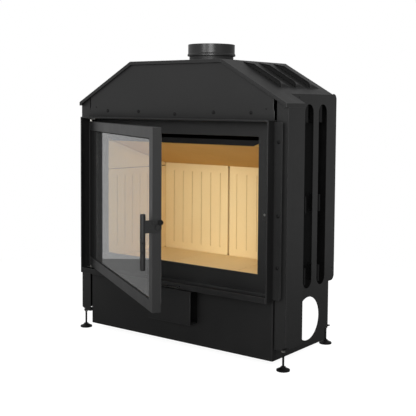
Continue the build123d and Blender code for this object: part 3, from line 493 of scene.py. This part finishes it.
def window_cove():
    """A quarter-round strip in the corner between the face and the surround's floor."""
    floor_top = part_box("surround_floor")[0].z + COVE_LIFT
    face_low, face_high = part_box("face_frame")
    half = face_high.x - COVE_END_GAP
    centre = (face_low.y - COVE_RADIUS + COVE_SHEET, floor_top + COVE_SHEET + COVE_RADIUS)
    strip = bmesh.new()
    profile = []
    for radius in (COVE_RADIUS, COVE_RADIUS + COVE_SHEET):
        for step in range(COVE_STEPS + 1):
            angle = radians(90 * step / COVE_STEPS)
            profile.append((centre[0] + radius * cos(angle), centre[1] - radius * sin(angle)))
    inner, outer = profile[:COVE_STEPS + 1], profile[COVE_STEPS + 1:]
    outline = inner + outer[::-1]
    ends = [[strip.verts.new((x, y, z)) for y, z in outline] for x in (-half, half)]
    for i in range(len(outline)):
        j = (i + 1) % len(outline)
        strip.faces.new((ends[0][i], ends[0][j], ends[1][j], ends[1][i]))
    for step in range(COVE_STEPS):
        for end in ends:
            back = len(outline) - 1 - step
            strip.faces.new((end[step], end[step + 1], end[back - 1], end[back]))
    bmesh.ops.recalc_face_normals(strip, faces=strip.faces)
    mesh = bpy.data.meshes.new("window_cove")
    strip.to_mesh(mesh)
    strip.free()
    mesh.shade_smooth()
    mesh.set_sharp_from_angle(angle=CREASE)
    return mesh


# The guides and the cove take the plinth's deeper black, a painted shade.
add_piece("louvre_guides", louvre_guides(), [shaded_plinth_black], "insert")
add_piece("window_cove", window_cove(), [shaded_plinth_black], "insert")
print("louvre guides and cove added")

# %% [markdown]
# ## The lining
# Boards stand loose in the casing and can be lifted out, so their joints are open and their edges
# are rubbed round. Chips could be carved into each edge, but from the camera's place they would be
# too small to see, so a wider bevel than on the steel does it. The upright grooves are pressed in,
# and belong to the solids already.

# %% Lining boards and tiles
BOARD_EDGE = 1.2 * MM
BOARDS = [name for name in nodes if "lining" in name or "floor_tile" in name]
for source in BOARDS:
    soften(source, firebrick, BOARD_EDGE)
soften("baffle", shaded_baffle_board, BOARD_EDGE)
print("boards softened:", len(BOARDS) + 1)

# %% [markdown]
# ## The door, its handle and its hinge
# The door is a welded frame round a pane, with a stepped dark trim over the hinge side. The handle
# is a round bar on a small plate beside the free edge. Hinge plates and pins are bare zinc, which
# is how the hinge can be told from the frame in the photograph. The door could be one mesh with
# several finishes. Kept apart, each piece has its own edge radius, and the handle can turn.

# %% Door, handle and hinge
# The door frame and the handle take the paler edge paint too: partly wear, partly a painted highlight.
soften("door_frame", door_black, 0.8 * MM, edge_finish=worn_edge_highlight)
soften("door_hinge_trim", matt_black, 0.3 * MM)
soften("door_glass", door_pane, 0.6 * MM)
soften("door_glass_clips", satin_black, 0.4 * MM)
soften("handle_bar", satin_black, 0.3 * MM, edge_finish=worn_edge_highlight)
soften("handle_plate", satin_black, 0.5 * MM, edge_finish=worn_edge_highlight)
soften("handle_pivot_bolt", satin_black, 0.4 * MM)
soften("latch_roller", matt_black, 0.4 * MM)
for source in ("hinge_pin_top", "hinge_pin_bottom", "keeper_bolt"):
    soften(source, bright_zinc, 0.4 * MM)
for source in ("hinge_bracket_top", "hinge_bracket_bottom"):
    soften(source, dull_zinc, 0.4 * MM)

# %% [markdown]
# ## The door's own directions
# Small parts of the door could be placed by their distance from the insert's middle, but the door
# stands at a slant. It is easier to measure from its hinge edge: so far along the door, so far into
# it, so high. The door stands open by the angle that the hinge still has to its shut stop.

# %% Places on the door
door_hinge = joints["door_hinge"]
door_angle = radians(-door_hinge["range_deg"][0])
HINGE_INSET = 7 * MM
along_door = Vector((cos(door_angle), -sin(door_angle), 0))
into_door = Vector((sin(door_angle), cos(door_angle), 0))
hinge_edge = Vector((*door_hinge["pos_m"][:2], 0)) - HINGE_INSET * (along_door + into_door)
DOOR_WIDTH = 853.35 * MM


def on_door(s, t, z):
    """A point s along the door from its hinge edge, t into it from its outer face, at height z."""
    return hinge_edge + s * along_door + t * into_door + Vector((0, 0, z))


print("door open by", round(degrees(door_angle), 1), "degrees")

# %% [markdown]
# ## Trees that place small parts
# Screws, bolts, braid and threads repeat. They could be copied by hand, but then a change of shape
# would have to be made in every copy. So each is drawn once and placed by Geometry Nodes. A cloud
# of points carries a size and a turn for each copy. The tree puts a copy on each point, makes the
# copies real, and gives them a finish. Afterwards the result becomes a plain mesh.


# %% Helpers for geometry trees
def new_tree(name, numbers):
    """A geometry tree with named number inputs and a finish input."""
    tree = bpy.data.node_groups.new(name, "GeometryNodeTree")
    tree.interface.new_socket("Geometry", in_out="INPUT", socket_type="NodeSocketGeometry")
    tree.interface.new_socket("Geometry", in_out="OUTPUT", socket_type="NodeSocketGeometry")
    for label, value in numbers.items():
        socket = tree.interface.new_socket(label, in_out="INPUT", socket_type="NodeSocketFloat")
        socket.default_value = value
    tree.interface.new_socket("Finish", in_out="INPUT", socket_type="NodeSocketMaterial")
    entry = tree.nodes.new("NodeGroupInput")
    return tree, entry


def calculate(tree, operation, first, second):
    """A Math node on two values, each a socket or a number."""
    added = tree.nodes.new("ShaderNodeMath")
    added.operation = operation
    for socket, value in zip(added.inputs, (first, second)):
        if isinstance(value, (int, float)):
            socket.default_value = value
        else:
            tree.links.new(value, socket)
    return added.outputs["Value"]


def vector_of(tree, x, y, z):
    """A vector from three values, each a socket or a number."""
    added = tree.nodes.new("ShaderNodeCombineXYZ")
    for socket, value in zip(added.inputs, (x, y, z)):
        if isinstance(value, (int, float)):
            socket.default_value = value
        else:
            tree.links.new(value, socket)
    return added.outputs["Vector"]


def moved(tree, geometry, shift=None, turn=None, scale=None):
    """A Transform Geometry node; each setting is a tuple or a socket."""
    added = tree.nodes.new("GeometryNodeTransform")
    tree.links.new(geometry, added.inputs["Geometry"])
    for name, value in (("Translation", shift), ("Rotation", turn), ("Scale", scale)):
        if isinstance(value, tuple):
            added.inputs[name].default_value = value
        elif value is not None:
            tree.links.new(value, added.inputs[name])
    return added.outputs["Geometry"]


def joined(tree, *geometries):
    """A Join Geometry node over all the geometries."""
    added = tree.nodes.new("GeometryNodeJoinGeometry")
    for geometry in geometries:
        tree.links.new(geometry, added.inputs["Geometry"])
    return added.outputs["Geometry"]


def finish_tree(tree, entry, geometry):
    """Make copies real, set the finish, and send the result out."""
    real = tree.nodes.new("GeometryNodeRealizeInstances")
    coat = tree.nodes.new("GeometryNodeSetMaterial")
    leave = tree.nodes.new("NodeGroupOutput")
    tree.links.new(geometry, real.inputs["Geometry"])
    tree.links.new(real.outputs["Geometry"], coat.inputs["Geometry"])
    tree.links.new(entry.outputs["Finish"], coat.inputs["Material"])
    tree.links.new(coat.outputs["Geometry"], leave.inputs["Geometry"])


def on_points(tree, entry, copy):
    """A copy on each incoming point, with the point's own size and turn."""
    place = tree.nodes.new("GeometryNodeInstanceOnPoints")
    tree.links.new(entry.outputs["Geometry"], place.inputs["Points"])
    tree.links.new(copy, place.inputs["Instance"])
    wanted = (("turn", "FLOAT_VECTOR", "Rotation"), ("size", "FLOAT", "Scale"))
    for attribute, kind, socket in wanted:
        read = tree.nodes.new("GeometryNodeInputNamedAttribute")
        read.data_type = kind
        read.inputs["Name"].default_value = attribute
        tree.links.new(read.outputs["Attribute"], place.inputs[socket])
    return place.outputs["Instances"]


def seat_points(name, seats):
    """A cloud of points from (place, axis, size, spin): each copy's +Z turns to its axis."""
    cloud = bpy.data.meshes.new(name)
    cloud.from_pydata([seat[0] for seat in seats], [], [])
    # Both attributes are made before either is filled, because making one may move the other.
    cloud.attributes.new("turn", "FLOAT_VECTOR", "POINT")
    cloud.attributes.new("size", "FLOAT", "POINT")
    turns, sizes = cloud.attributes["turn"], cloud.attributes["size"]
    for i, (_, axis, size, spin) in enumerate(seats):
        turn = Vector(axis).to_track_quat("Z", "Y") @ Euler((0, 0, spin)).to_quaternion()
        turns.data[i].vector = turn.to_euler()
        sizes.data[i].value = size
    return cloud


def grow(name, carrier_mesh, tree, numbers, finish, body):
    """Run a tree on a mesh and keep the result as one plain piece."""
    carrier = bpy.data.objects.new(f"{name}_carrier", carrier_mesh)
    bpy.context.scene.collection.objects.link(carrier)
    modifier = carrier.modifiers.new("tree", "NODES")
    modifier.node_group = tree
    for socket in tree.interface.items_tree:
        if socket.in_out == "INPUT" and socket.name in numbers:
            modifier[socket.identifier] = numbers[socket.name]
        if socket.in_out == "INPUT" and socket.name == "Finish":
            modifier[socket.identifier] = finish
    bpy.context.view_layer.update()
    evaluated = carrier.evaluated_get(bpy.context.evaluated_depsgraph_get())
    mesh = bpy.data.meshes.new_from_object(evaluated)
    bpy.data.objects.remove(carrier)
    mesh.name = name
    mesh.shade_smooth()
    mesh.set_sharp_from_angle(angle=CREASE)
    print(name, "has", len(mesh.polygons), "faces")
    return add_piece(name, mesh, None, body)


# %% [markdown]
# ## Screws
# The hood and the cover strips are held by round-headed screws with a flange, driven by a hexagon
# socket. Their places could be typed in, but the frame already holds a plain head for each, so the
# seats are measured from those, and every screw sits where its hole is. One head is drawn with a
# radius of one: a flange, a dome and the socket cut into it. A different spin for each keeps them
# from looking stamped.


# %% Screw head tree
SCREW_SHAPE = {"Dome Height": 0.5, "Flange Height": 0.16, "Socket": 0.34}
DOME_RADIUS = 0.78
SOCKET_DEPTH = 0.5
SOCKET_RISE = 0.1
SUNK = 0.98


def screw_tree():
    """A head of radius one for each point; SUNK lets its dome start just inside the flange."""
    tree, entry = new_tree("flanged_screw", SCREW_SHAPE)
    flange = node(tree, "GeometryNodeMeshCylinder", Vertices=32, Radius=1.0, Depth=1.0)
    flange_size = vector_of(tree, 1.0, 1.0, entry.outputs["Flange Height"])
    half = calculate(tree, "MULTIPLY", entry.outputs["Flange Height"], 0.5)
    flange_lift = vector_of(tree, 0.0, 0.0, half)
    plate = moved(tree, flange.outputs["Mesh"], shift=flange_lift, scale=flange_size)
    ball = node(tree, "GeometryNodeMeshUVSphere", Segments=32, Rings=16, Radius=DOME_RADIUS)
    dome_size = vector_of(tree, 1.0, 1.0, entry.outputs["Dome Height"])
    dome = moved(tree, ball.outputs["Mesh"], scale=dome_size)
    lift = tree.nodes.new("GeometryNodeSetPosition")
    position = tree.nodes.new("GeometryNodeInputPosition")
    parts = tree.nodes.new("ShaderNodeSeparateXYZ")
    tree.links.new(position.outputs["Position"], parts.inputs["Vector"])
    level = calculate(tree, "MAXIMUM", parts.outputs["Z"], 0.0)
    flattened = vector_of(tree, parts.outputs["X"], parts.outputs["Y"], level)
    tree.links.new(flattened, lift.inputs["Position"])
    tree.links.new(dome, lift.inputs["Geometry"])
    on_flange = calculate(tree, "MULTIPLY", entry.outputs["Flange Height"], SUNK)
    raised = moved(tree, lift.outputs["Geometry"], shift=vector_of(tree, 0.0, 0.0, on_flange))
    key = node(tree, "GeometryNodeMeshCylinder", Vertices=6, Depth=SOCKET_DEPTH)
    tree.links.new(entry.outputs["Socket"], key.inputs["Radius"])
    key_height = calculate(tree, "ADD", entry.outputs["Dome Height"], SOCKET_RISE)
    cutter = moved(tree, key.outputs["Mesh"], shift=vector_of(tree, 0.0, 0.0, key_height))
    cut = tree.nodes.new("GeometryNodeMeshBoolean")
    cut.operation = "DIFFERENCE"
    tree.links.new(raised, cut.inputs["Mesh 1"])
    tree.links.new(cutter, cut.inputs["Mesh 2"])
    head = joined(tree, plate, cut.outputs["Mesh"])
    finish_tree(tree, entry, on_points(tree, entry, head))
    return tree


SPIN = 2.4


def screw_seats(source):
    """Seat, axis, radius and spin of each plain head of the frame; it is short on its axis."""
    loose = bmesh.new()
    loose.from_mesh(nodes[source].data)
    bmesh.ops.remove_doubles(loose, verts=loose.verts, dist=WELD_DISTANCE)
    waiting = set(loose.verts)
    seats = []
    while waiting:
        island, reached = set(), [waiting.pop()]
        while reached:
            vert = reached.pop()
            island.add(vert)
            near = {edge.other_vert(vert) for edge in vert.link_edges} & waiting
            waiting -= near
            reached.extend(near)
        low = Vector([min(vert.co[i] for vert in island) for i in range(3)])
        high = Vector([max(vert.co[i] for vert in island) for i in range(3)])
        middle = (low + high) / 2
        if high.y - low.y < high.x - low.x:
            seats.append(((middle.x, high.y, middle.z), (0, -1, 0), (high.x - low.x) / 2))
        else:
            side = 1 if middle.x > 0 else -1
            base_x = low.x if side > 0 else high.x
            seats.append(((base_x, middle.y, middle.z), (side, 0, 0), (high.y - low.y) / 2))
    loose.free()
    seats.sort(key=lambda seat: tuple(round(value, 4) for value in seat[0]))
    return [(*seat, i * SPIN) for i, seat in enumerate(seats)]


seats = screw_seats("screws")
screw_piece = grow(
    "flanged_screws", seat_points("screw_seats", seats), screw_tree(), SCREW_SHAPE, screw_black,
    body_of_node["screws"],
)
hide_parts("screws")
print("screws placed:", len(seats))

# %% [markdown]
# ## Hexagon bolts
# The handle turns on a bolt with a hexagon head, and smaller ones hold the keeper and the upper
# hinge plate. A bolt head is a six-sided prism whose corners are turned off on a lathe, on a
# washer. A cone would cut the corners as a lathe does. Crossing the prism with a ball needs only
# one number, the ball's radius, and rounds all six corners at once.


# %% Hexagon bolt tree
BOLT_SHAPE = {"Head Height": 0.62, "Washer Height": 0.14}
WASHER_RADIUS = 1.2
CORNER_BALL = 1.13


def bolt_tree():
    """A hexagon head of radius one on a washer, for each point."""
    tree, entry = new_tree("hexagon_bolt", BOLT_SHAPE)
    washer = node(tree, "GeometryNodeMeshCylinder", Vertices=32, Radius=WASHER_RADIUS, Depth=1.0)
    washer_lift = calculate(tree, "MULTIPLY", entry.outputs["Washer Height"], 0.5)
    ring = moved(tree, washer.outputs["Mesh"], shift=vector_of(tree, 0.0, 0.0, washer_lift),
                 scale=vector_of(tree, 1.0, 1.0, entry.outputs["Washer Height"]))
    prism = node(tree, "GeometryNodeMeshCylinder", Vertices=6, Radius=1.0, Depth=1.0)
    head_lift = calculate(tree, "MULTIPLY", entry.outputs["Head Height"], 0.5)
    head = moved(tree, prism.outputs["Mesh"], shift=vector_of(tree, 0.0, 0.0, head_lift),
                 scale=vector_of(tree, 1.0, 1.0, entry.outputs["Head Height"]))
    ball = node(tree, "GeometryNodeMeshUVSphere", Segments=36, Rings=24, Radius=CORNER_BALL)
    cross = tree.nodes.new("GeometryNodeMeshBoolean")
    cross.operation = "INTERSECT"
    tree.links.new(head, cross.inputs["Mesh 2"])
    tree.links.new(ball.outputs["Mesh"], cross.inputs["Mesh 2"])
    on_washer = calculate(tree, "MULTIPLY", entry.outputs["Washer Height"], SUNK)
    raised = moved(tree, cross.outputs["Mesh"], shift=vector_of(tree, 0.0, 0.0, on_washer))
    finish_tree(tree, entry, on_points(tree, entry, joined(tree, ring, raised)))
    return tree


hexagon_bolt = bolt_tree()
KEEPER_HEAD, HINGE_HEAD = 3.6 * MM, 4.2 * MM
HINGE_BOLT_X, HINGE_BOLT_Y, HINGE_BOLT_Z = -9 * MM, 16 * MM, -0.05 * MM
keeper_low, keeper_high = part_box("keeper_bolt")
keeper_middle = (keeper_low + keeper_high) / 2
keeper_seat = (keeper_middle.x, keeper_high.y, keeper_middle.z)
plate_low, plate_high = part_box("hinge_bracket_top")
hinge_bolt_seat = (
    plate_high.x + HINGE_BOLT_X, plate_low.y + HINGE_BOLT_Y, plate_high.z + HINGE_BOLT_Z
)
bright_seats = [
    (keeper_seat, (0, -1, 0), KEEPER_HEAD, 0.3),
    (hinge_bolt_seat, (0, 0, 1), HINGE_HEAD, 0.9),
]
grow(
    "bright_bolts", seat_points("bright_seats", bright_seats), hexagon_bolt, BOLT_SHAPE, dull_zinc,
    "insert",
)
PIVOT_HEAD, UPPER_HEAD = 8.0 * MM, 4.6 * MM
PIVOT_DEPTH, UPPER_DEPTH, UPPER_RISE = 16.1 * MM, 2.0 * MM, 14 * MM
HANDLE_FACE = DOOR_WIDTH + 3.2 * MM
pivot_low, pivot_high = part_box("handle_pivot_bolt")
pivot_height = (pivot_low.z + pivot_high.z) / 2
pivot_seat = on_door(HANDLE_FACE, PIVOT_DEPTH, pivot_height)
upper_seat = on_door(HANDLE_FACE, UPPER_DEPTH, pivot_height + UPPER_RISE)
handle_seats = [(pivot_seat, along_door, PIVOT_HEAD, 0.35), (upper_seat, along_door, UPPER_HEAD, 0.1)]
grow(
    "handle_bolts", seat_points("handle_seats", handle_seats), hexagon_bolt, BOLT_SHAPE,
    satin_black, "handle",
)

# %% [markdown]
# ## The sealing rope
# A braided rope is glued round the back of the door frame. It is seen as soon as the door opens
# wide. Every strand of it could be swept along its own path, which takes many faces. From outside a
# braid shows two rows of strands that lean against each other, so one pair of leaning beads is
# drawn, and the tree walks it round the door, step by step.


# %% Braided rope tree
BRAID = {"Width": 10 * MM, "Height": 7 * MM, "Step": 6 * MM}
BRAID_LEAN = radians(30)
BEAD_LENGTH, BEAD_WIDTH, BEAD_ASIDE = 0.66, 0.27, 0.2


def braid_tree():
    """Pairs of leaning beads along a line, turned so that each stands on the door's back."""
    tree, entry = new_tree("braid", BRAID)
    path = tree.nodes.new("GeometryNodeMeshToCurve")
    tree.links.new(entry.outputs["Geometry"], path.inputs["Mesh"])
    steps = tree.nodes.new("GeometryNodeResampleCurve")
    steps.mode = "LENGTH"
    tree.links.new(path.outputs["Curve"], steps.inputs["Curve"])
    tree.links.new(entry.outputs["Step"], steps.inputs["Length"])
    bead = node(tree, "GeometryNodeMeshUVSphere", Segments=8, Rings=6, Radius=1.0)
    half_step = calculate(tree, "MULTIPLY", entry.outputs["Step"], 0.5)
    long = calculate(tree, "MULTIPLY", entry.outputs["Step"], BEAD_LENGTH)
    wide = calculate(tree, "MULTIPLY", entry.outputs["Width"], BEAD_WIDTH)
    high = calculate(tree, "MULTIPLY", entry.outputs["Height"], 0.5)
    aside = calculate(tree, "MULTIPLY", entry.outputs["Width"], BEAD_ASIDE)
    other_side = calculate(tree, "MULTIPLY", aside, -1.0)
    size = vector_of(tree, long, wide, high)
    first_place = vector_of(tree, 0.0, aside, high)
    second_place = vector_of(tree, half_step, other_side, high)
    first = moved(tree, bead.outputs["Mesh"], first_place, (0.0, 0.0, BRAID_LEAN), size)
    second = moved(tree, bead.outputs["Mesh"], second_place, (0.0, 0.0, -BRAID_LEAN), size)
    place = tree.nodes.new("GeometryNodeInstanceOnPoints")
    tree.links.new(steps.outputs["Curve"], place.inputs["Points"])
    tree.links.new(joined(tree, first, second), place.inputs["Instance"])
    tangent = tree.nodes.new("GeometryNodeInputTangent")
    outward = tree.nodes.new("GeometryNodeInputNamedAttribute")
    outward.data_type = "FLOAT_VECTOR"
    outward.inputs["Name"].default_value = "outward"
    axes = tree.nodes.new("FunctionNodeAxesToRotation")
    axes.primary_axis = "Z"
    axes.secondary_axis = "X"
    tree.links.new(outward.outputs["Attribute"], axes.inputs["Primary Axis"])
    tree.links.new(tangent.outputs["Tangent"], axes.inputs["Secondary Axis"])
    tree.links.new(axes.outputs["Rotation"], place.inputs["Rotation"])
    finish_tree(tree, entry, place.outputs["Instances"])
    return tree


GASKET_INSET = 19 * MM
GASKET_SEAT = 28 * MM
CORNER = 12 * MM
CORNER_STEP = 15
door_low, door_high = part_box("door_frame")


def rope_path():
    """A closed ring of edges behind the door frame, with round corners."""
    s0, s1 = GASKET_INSET, DOOR_WIDTH - GASKET_INSET
    z0, z1 = door_low.z + GASKET_INSET, door_high.z - GASKET_INSET
    centres = ((s1 - CORNER, z0 + CORNER, -90), (s1 - CORNER, z1 - CORNER, 0),
               (s0 + CORNER, z1 - CORNER, 90), (s0 + CORNER, z0 + CORNER, 180))
    points = []
    for s, z, start in centres:
        for step in range(90 // CORNER_STEP + 1):
            angle = radians(start + CORNER_STEP * step)
            points.append(on_door(s + CORNER * cos(angle), GASKET_SEAT, z + CORNER * sin(angle)))
    ring = bpy.data.meshes.new("rope_path")
    ring.from_pydata(points, [(i, (i + 1) % len(points)) for i in range(len(points))], [])
    outward = ring.attributes.new("outward", "FLOAT_VECTOR", "POINT")
    for entry in outward.data:
        entry.vector = into_door
    return ring


rope_piece = grow("braided_seal", rope_path(), braid_tree(), BRAID,
                  sealing_rope, "door")
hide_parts("door_gasket")

# %% [markdown]
# ## The seal round the pane
# Where the pane meets the frame, a narrow black seal fills the corner. It is what draws the dark
# line between the lower rail and the glass in the photograph. A round cord could be swept round the
# corner, but half of it would be hidden. One ring of three-sided section with mitred corners shows
# the same slanting face.


# %% Seal round the pane
STILE = 35 * MM
RAIL = 34 * MM
SEAL_WIDTH = 4 * MM
SEAL_FRONT = 4.6 * MM
PANE_FRONT = 5.95 * MM
TRIM_END = 88.2 * MM


def pane_seal():
    """A closed ring of three-sided section between the pane and the frame's inner edge."""
    outer = (TRIM_END, DOOR_WIDTH - STILE, door_low.z + RAIL, door_high.z - RAIL)
    inner = tuple(side + inward * SEAL_WIDTH for side, inward in zip(outer, (1, -1, 1, -1)))
    ring = bmesh.new()
    loops = []
    for (s0, s1, z0, z1), t in ((outer, PANE_FRONT), (outer, SEAL_FRONT), (inner, PANE_FRONT)):
        corners = ((s0, z0), (s1, z0), (s1, z1), (s0, z1))
        loops.append([ring.verts.new(on_door(s, t, z)) for s, z in corners])
    for first, second in ((0, 1), (1, 2), (2, 0)):
        for i in range(4):
            j = (i + 1) % 4
            ring.faces.new((loops[first][i], loops[first][j], loops[second][j], loops[second][i]))
    bmesh.ops.recalc_face_normals(ring, faces=ring.faces)
    mesh = bpy.data.meshes.new("pane_seal")
    ring.to_mesh(mesh)
    ring.free()
    return mesh


add_piece("pane_seal", pane_seal(), [matt_black], "door")
print("pane seal added")

# %% [markdown]
# ## Feet
# The insert stands on four levelling feet: a turned base, a threaded rod, and a nut that locks it
# under its seat. A stack of rings could pass for the thread, but a real one climbs. The frame's rod
# is plain, so its copy is made thinner by the depth of the thread, and the ridge of the thread is
# wound round it by a tree: a spiral swept with a small square that stands on its corner.


# %% Thread tree
THREAD = {"Crest Radius": 4.0 * MM, "Depth": 0.4 * MM, "Pitch": 1.25 * MM, "Length": 83 * MM}


def thread_tree():
    """The ridge of a screw thread that climbs from each point."""
    tree, entry = new_tree("thread", THREAD)
    turns = calculate(tree, "DIVIDE", entry.outputs["Length"], entry.outputs["Pitch"])
    spiral = node(tree, "GeometryNodeCurveSpiral", Resolution=18)
    radius = calculate(tree, "SUBTRACT", entry.outputs["Crest Radius"], entry.outputs["Depth"])
    tree.links.new(turns, spiral.inputs["Rotations"])
    tree.links.new(radius, spiral.inputs["Start Radius"])
    tree.links.new(radius, spiral.inputs["End Radius"])
    tree.links.new(entry.outputs["Length"], spiral.inputs["Height"])
    ridge = node(tree, "GeometryNodeCurvePrimitiveCircle", Resolution=4)
    tree.links.new(entry.outputs["Depth"], ridge.inputs["Radius"])
    sweep = tree.nodes.new("GeometryNodeCurveToMesh")
    sweep.inputs["Fill Caps"].default_value = True
    tree.links.new(spiral.outputs["Curve"], sweep.inputs["Curve"])
    tree.links.new(ridge.outputs["Curve"], sweep.inputs["Profile Curve"])
    finish_tree(tree, entry, on_points(tree, entry, sweep.outputs["Mesh"]))
    return tree


# %% Feet with threaded rods and nuts
FEET = ("foot_front_left", "foot_front_right", "foot_rear_left", "foot_rear_right")
BELL_TOP = 15.2 * MM
ROD_RADIUS = THREAD["Crest Radius"]
ROD_TOLERANCE = 0.1 * MM
THREAD_DEPTH = THREAD["Depth"]
thread = thread_tree()
for source in FEET:
    piece = soften(source, foot_black, 0.4 * MM)
    low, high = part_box(source)
    axis_x, axis_y = (low.x + high.x) / 2, (low.y + high.y) / 2
    for vert in piece.data.vertices:
        across = Vector((vert.co.x - axis_x, vert.co.y - axis_y))
        if abs(across.length - ROD_RADIUS) < ROD_TOLERANCE:
            across *= (ROD_RADIUS - THREAD_DEPTH) / across.length
            vert.co.x, vert.co.y = axis_x + across.x, axis_y + across.y
    start = [((axis_x, axis_y, BELL_TOP + THREAD_DEPTH), (0, 0, 1), 1.0, 0)]
    grow(
        f"{source}_thread", seat_points(f"{source}_thread_start", start), thread,
        {**THREAD, "Length": high.z - BELL_TOP - MM}, foot_black, body_of_node[source],
    )
for source in [name for name in nodes if name.startswith("foot_nut")]:
    soften(source, dull_zinc, 0.5 * MM)

# %% [markdown]
# ## Floor
# A plain round floor catches the insert's shadow. White paint could meet the white background, but
# the black sheets and the pane would mirror it too strongly. So its paint is grey, and a glow that
# only the eye gets brings it up to the white of the background. A helper asks each ray whom it
# serves: straight views, also through glass, are told from views that a mirroring face has turned.
# The floor ends two metres away, which is why the pane's milky veil stops at a level line: below
# it, the glass mirrors the grey floor instead of the sky.


# %% Floor
FLOOR_RADIUS = 2.0
FLOOR_GREY = 0.22
FLOOR_GLOW = 0.9


def eye_and_mirror(tree):
    """Two values: 1 where the eye sees straight or through glass, and 1 where a face mirrors."""
    rays = tree.nodes.new("ShaderNodeLightPath")
    camera_ray, glass_ray = rays.outputs["Is Camera Ray"], rays.outputs["Is Transmission Ray"]
    turned = calculate(tree, "MINIMUM", rays.outputs["Glossy Depth"], 1.0)
    straight = calculate(tree, "SUBTRACT", 1.0, turned)
    eye = calculate(tree, "MULTIPLY", calculate(tree, "MAXIMUM", camera_ray, glass_ray), straight)
    through = calculate(tree, "MULTIPLY", glass_ray, turned)
    mirror = calculate(tree, "MAXIMUM", rays.outputs["Is Glossy Ray"], through)
    return eye, mirror


def studio_floor():
    """A grey disc that looks white to the eye alone, and keeps the shadow."""
    disc = bmesh.new()
    bmesh.ops.create_circle(disc, cap_ends=True, segments=96, radius=FLOOR_RADIUS)
    mesh = bpy.data.meshes.new("floor")
    disc.to_mesh(mesh)
    disc.free()
    floor = bpy.data.objects.new("floor", mesh)
    bpy.context.scene.collection.objects.link(floor)
    material, tree, shader = new_finish("pale_floor")
    shader.inputs["Base Color"].default_value = (FLOOR_GREY, FLOOR_GREY, FLOOR_GREY, 1)
    shader.inputs["Roughness"].default_value = 0.9
    shader.inputs["Specular IOR Level"].default_value = 0.1
    glow = node(tree, "ShaderNodeEmission")
    eye, _ = eye_and_mirror(tree)
    tree.links.new(calculate(tree, "MULTIPLY", eye, FLOOR_GLOW), glow.inputs["Strength"])
    both = tree.nodes.new("ShaderNodeAddShader")
    tree.links.new(shader.outputs["BSDF"], both.inputs[0])
    tree.links.new(glow.outputs["Emission"], both.inputs[1])
    tree.links.new(both.outputs["Shader"], tree.nodes["Material Output"].inputs["Surface"])
    mesh.materials.append(material)


studio_floor()
print("floor radius", FLOOR_RADIUS, "m")

# %% [markdown]
# ## Sky and lamps
# A picture of a real studio could light the insert, but a plain sky is easier to set. It is white
# to the eye, lights the insert at a plain level, and is mirrored bright in front and dimmer behind,
# which gives round steel its light and dark sides. Three soft lamps join it: the main one behind
# and above the camera, a weaker one straight in front of the insert that draws a streak on the flue
# collar, and a faint one to the right for the side sheets.


# %% Sky and lamps
def studio_sky(light_level, front_level, rear_level):
    """A sky that lights at one level and is mirrored at another, from the front to the rear."""
    world = bpy.data.worlds.new("studio")
    world.use_nodes = True
    tree = world.node_tree
    background = tree.nodes["Background"]
    background.inputs["Color"].default_value = (1, 1, 1, 1)
    eye, mirror = eye_and_mirror(tree)
    place = tree.nodes.new("ShaderNodeTexCoord")
    parts = tree.nodes.new("ShaderNodeSeparateXYZ")
    tree.links.new(place.outputs["Generated"], parts.inputs["Vector"])
    backward = node(
        tree, "ShaderNodeMapRange",
        From_Min=-1.0, From_Max=1.0, To_Min=front_level, To_Max=rear_level,
    )
    tree.links.new(parts.outputs["Y"], backward.inputs["Value"])
    mirrored = calculate(tree, "MULTIPLY", mirror, backward.outputs["Result"])
    others = calculate(tree, "SUBTRACT", 1.0, calculate(tree, "MAXIMUM", eye, mirror))
    lighting = calculate(tree, "MULTIPLY", others, light_level)
    total = calculate(tree, "ADD", calculate(tree, "ADD", eye, mirrored), lighting)
    tree.links.new(total, background.inputs["Strength"])
    bpy.context.scene.world = world


def softbox(name, place, target, size, power):
    """A lamp at a place that faces a target, with its sides in metres and its power in watts."""
    data = bpy.data.lights.new(name, "AREA")
    data.shape = "RECTANGLE"
    data.size, data.size_y = size
    data.energy = power
    lamp = bpy.data.objects.new(name, data)
    lamp.location = place
    lamp.rotation_euler = (Vector(target) - Vector(place)).to_track_quat("-Z", "Y").to_euler()
    bpy.context.scene.collection.objects.link(lamp)


studio_sky(0.85, 1.0, 0.40)
softbox("key_softbox", (2.4, -3.4, 1.7), (0, 0, 0.55), (1.6, 1.6), 104)
softbox("front_softbox", (0.15, -4.2, 1.6), (0, 0, 0.8), (0.9, 1.6), 42)
softbox("right_softbox", (3.4, -0.6, 1.8), (0, 0, 0.6), (1.6, 2.0), 3)
bpy.context.scene.view_settings.view_transform = "Standard"
print("sky and lamps set")
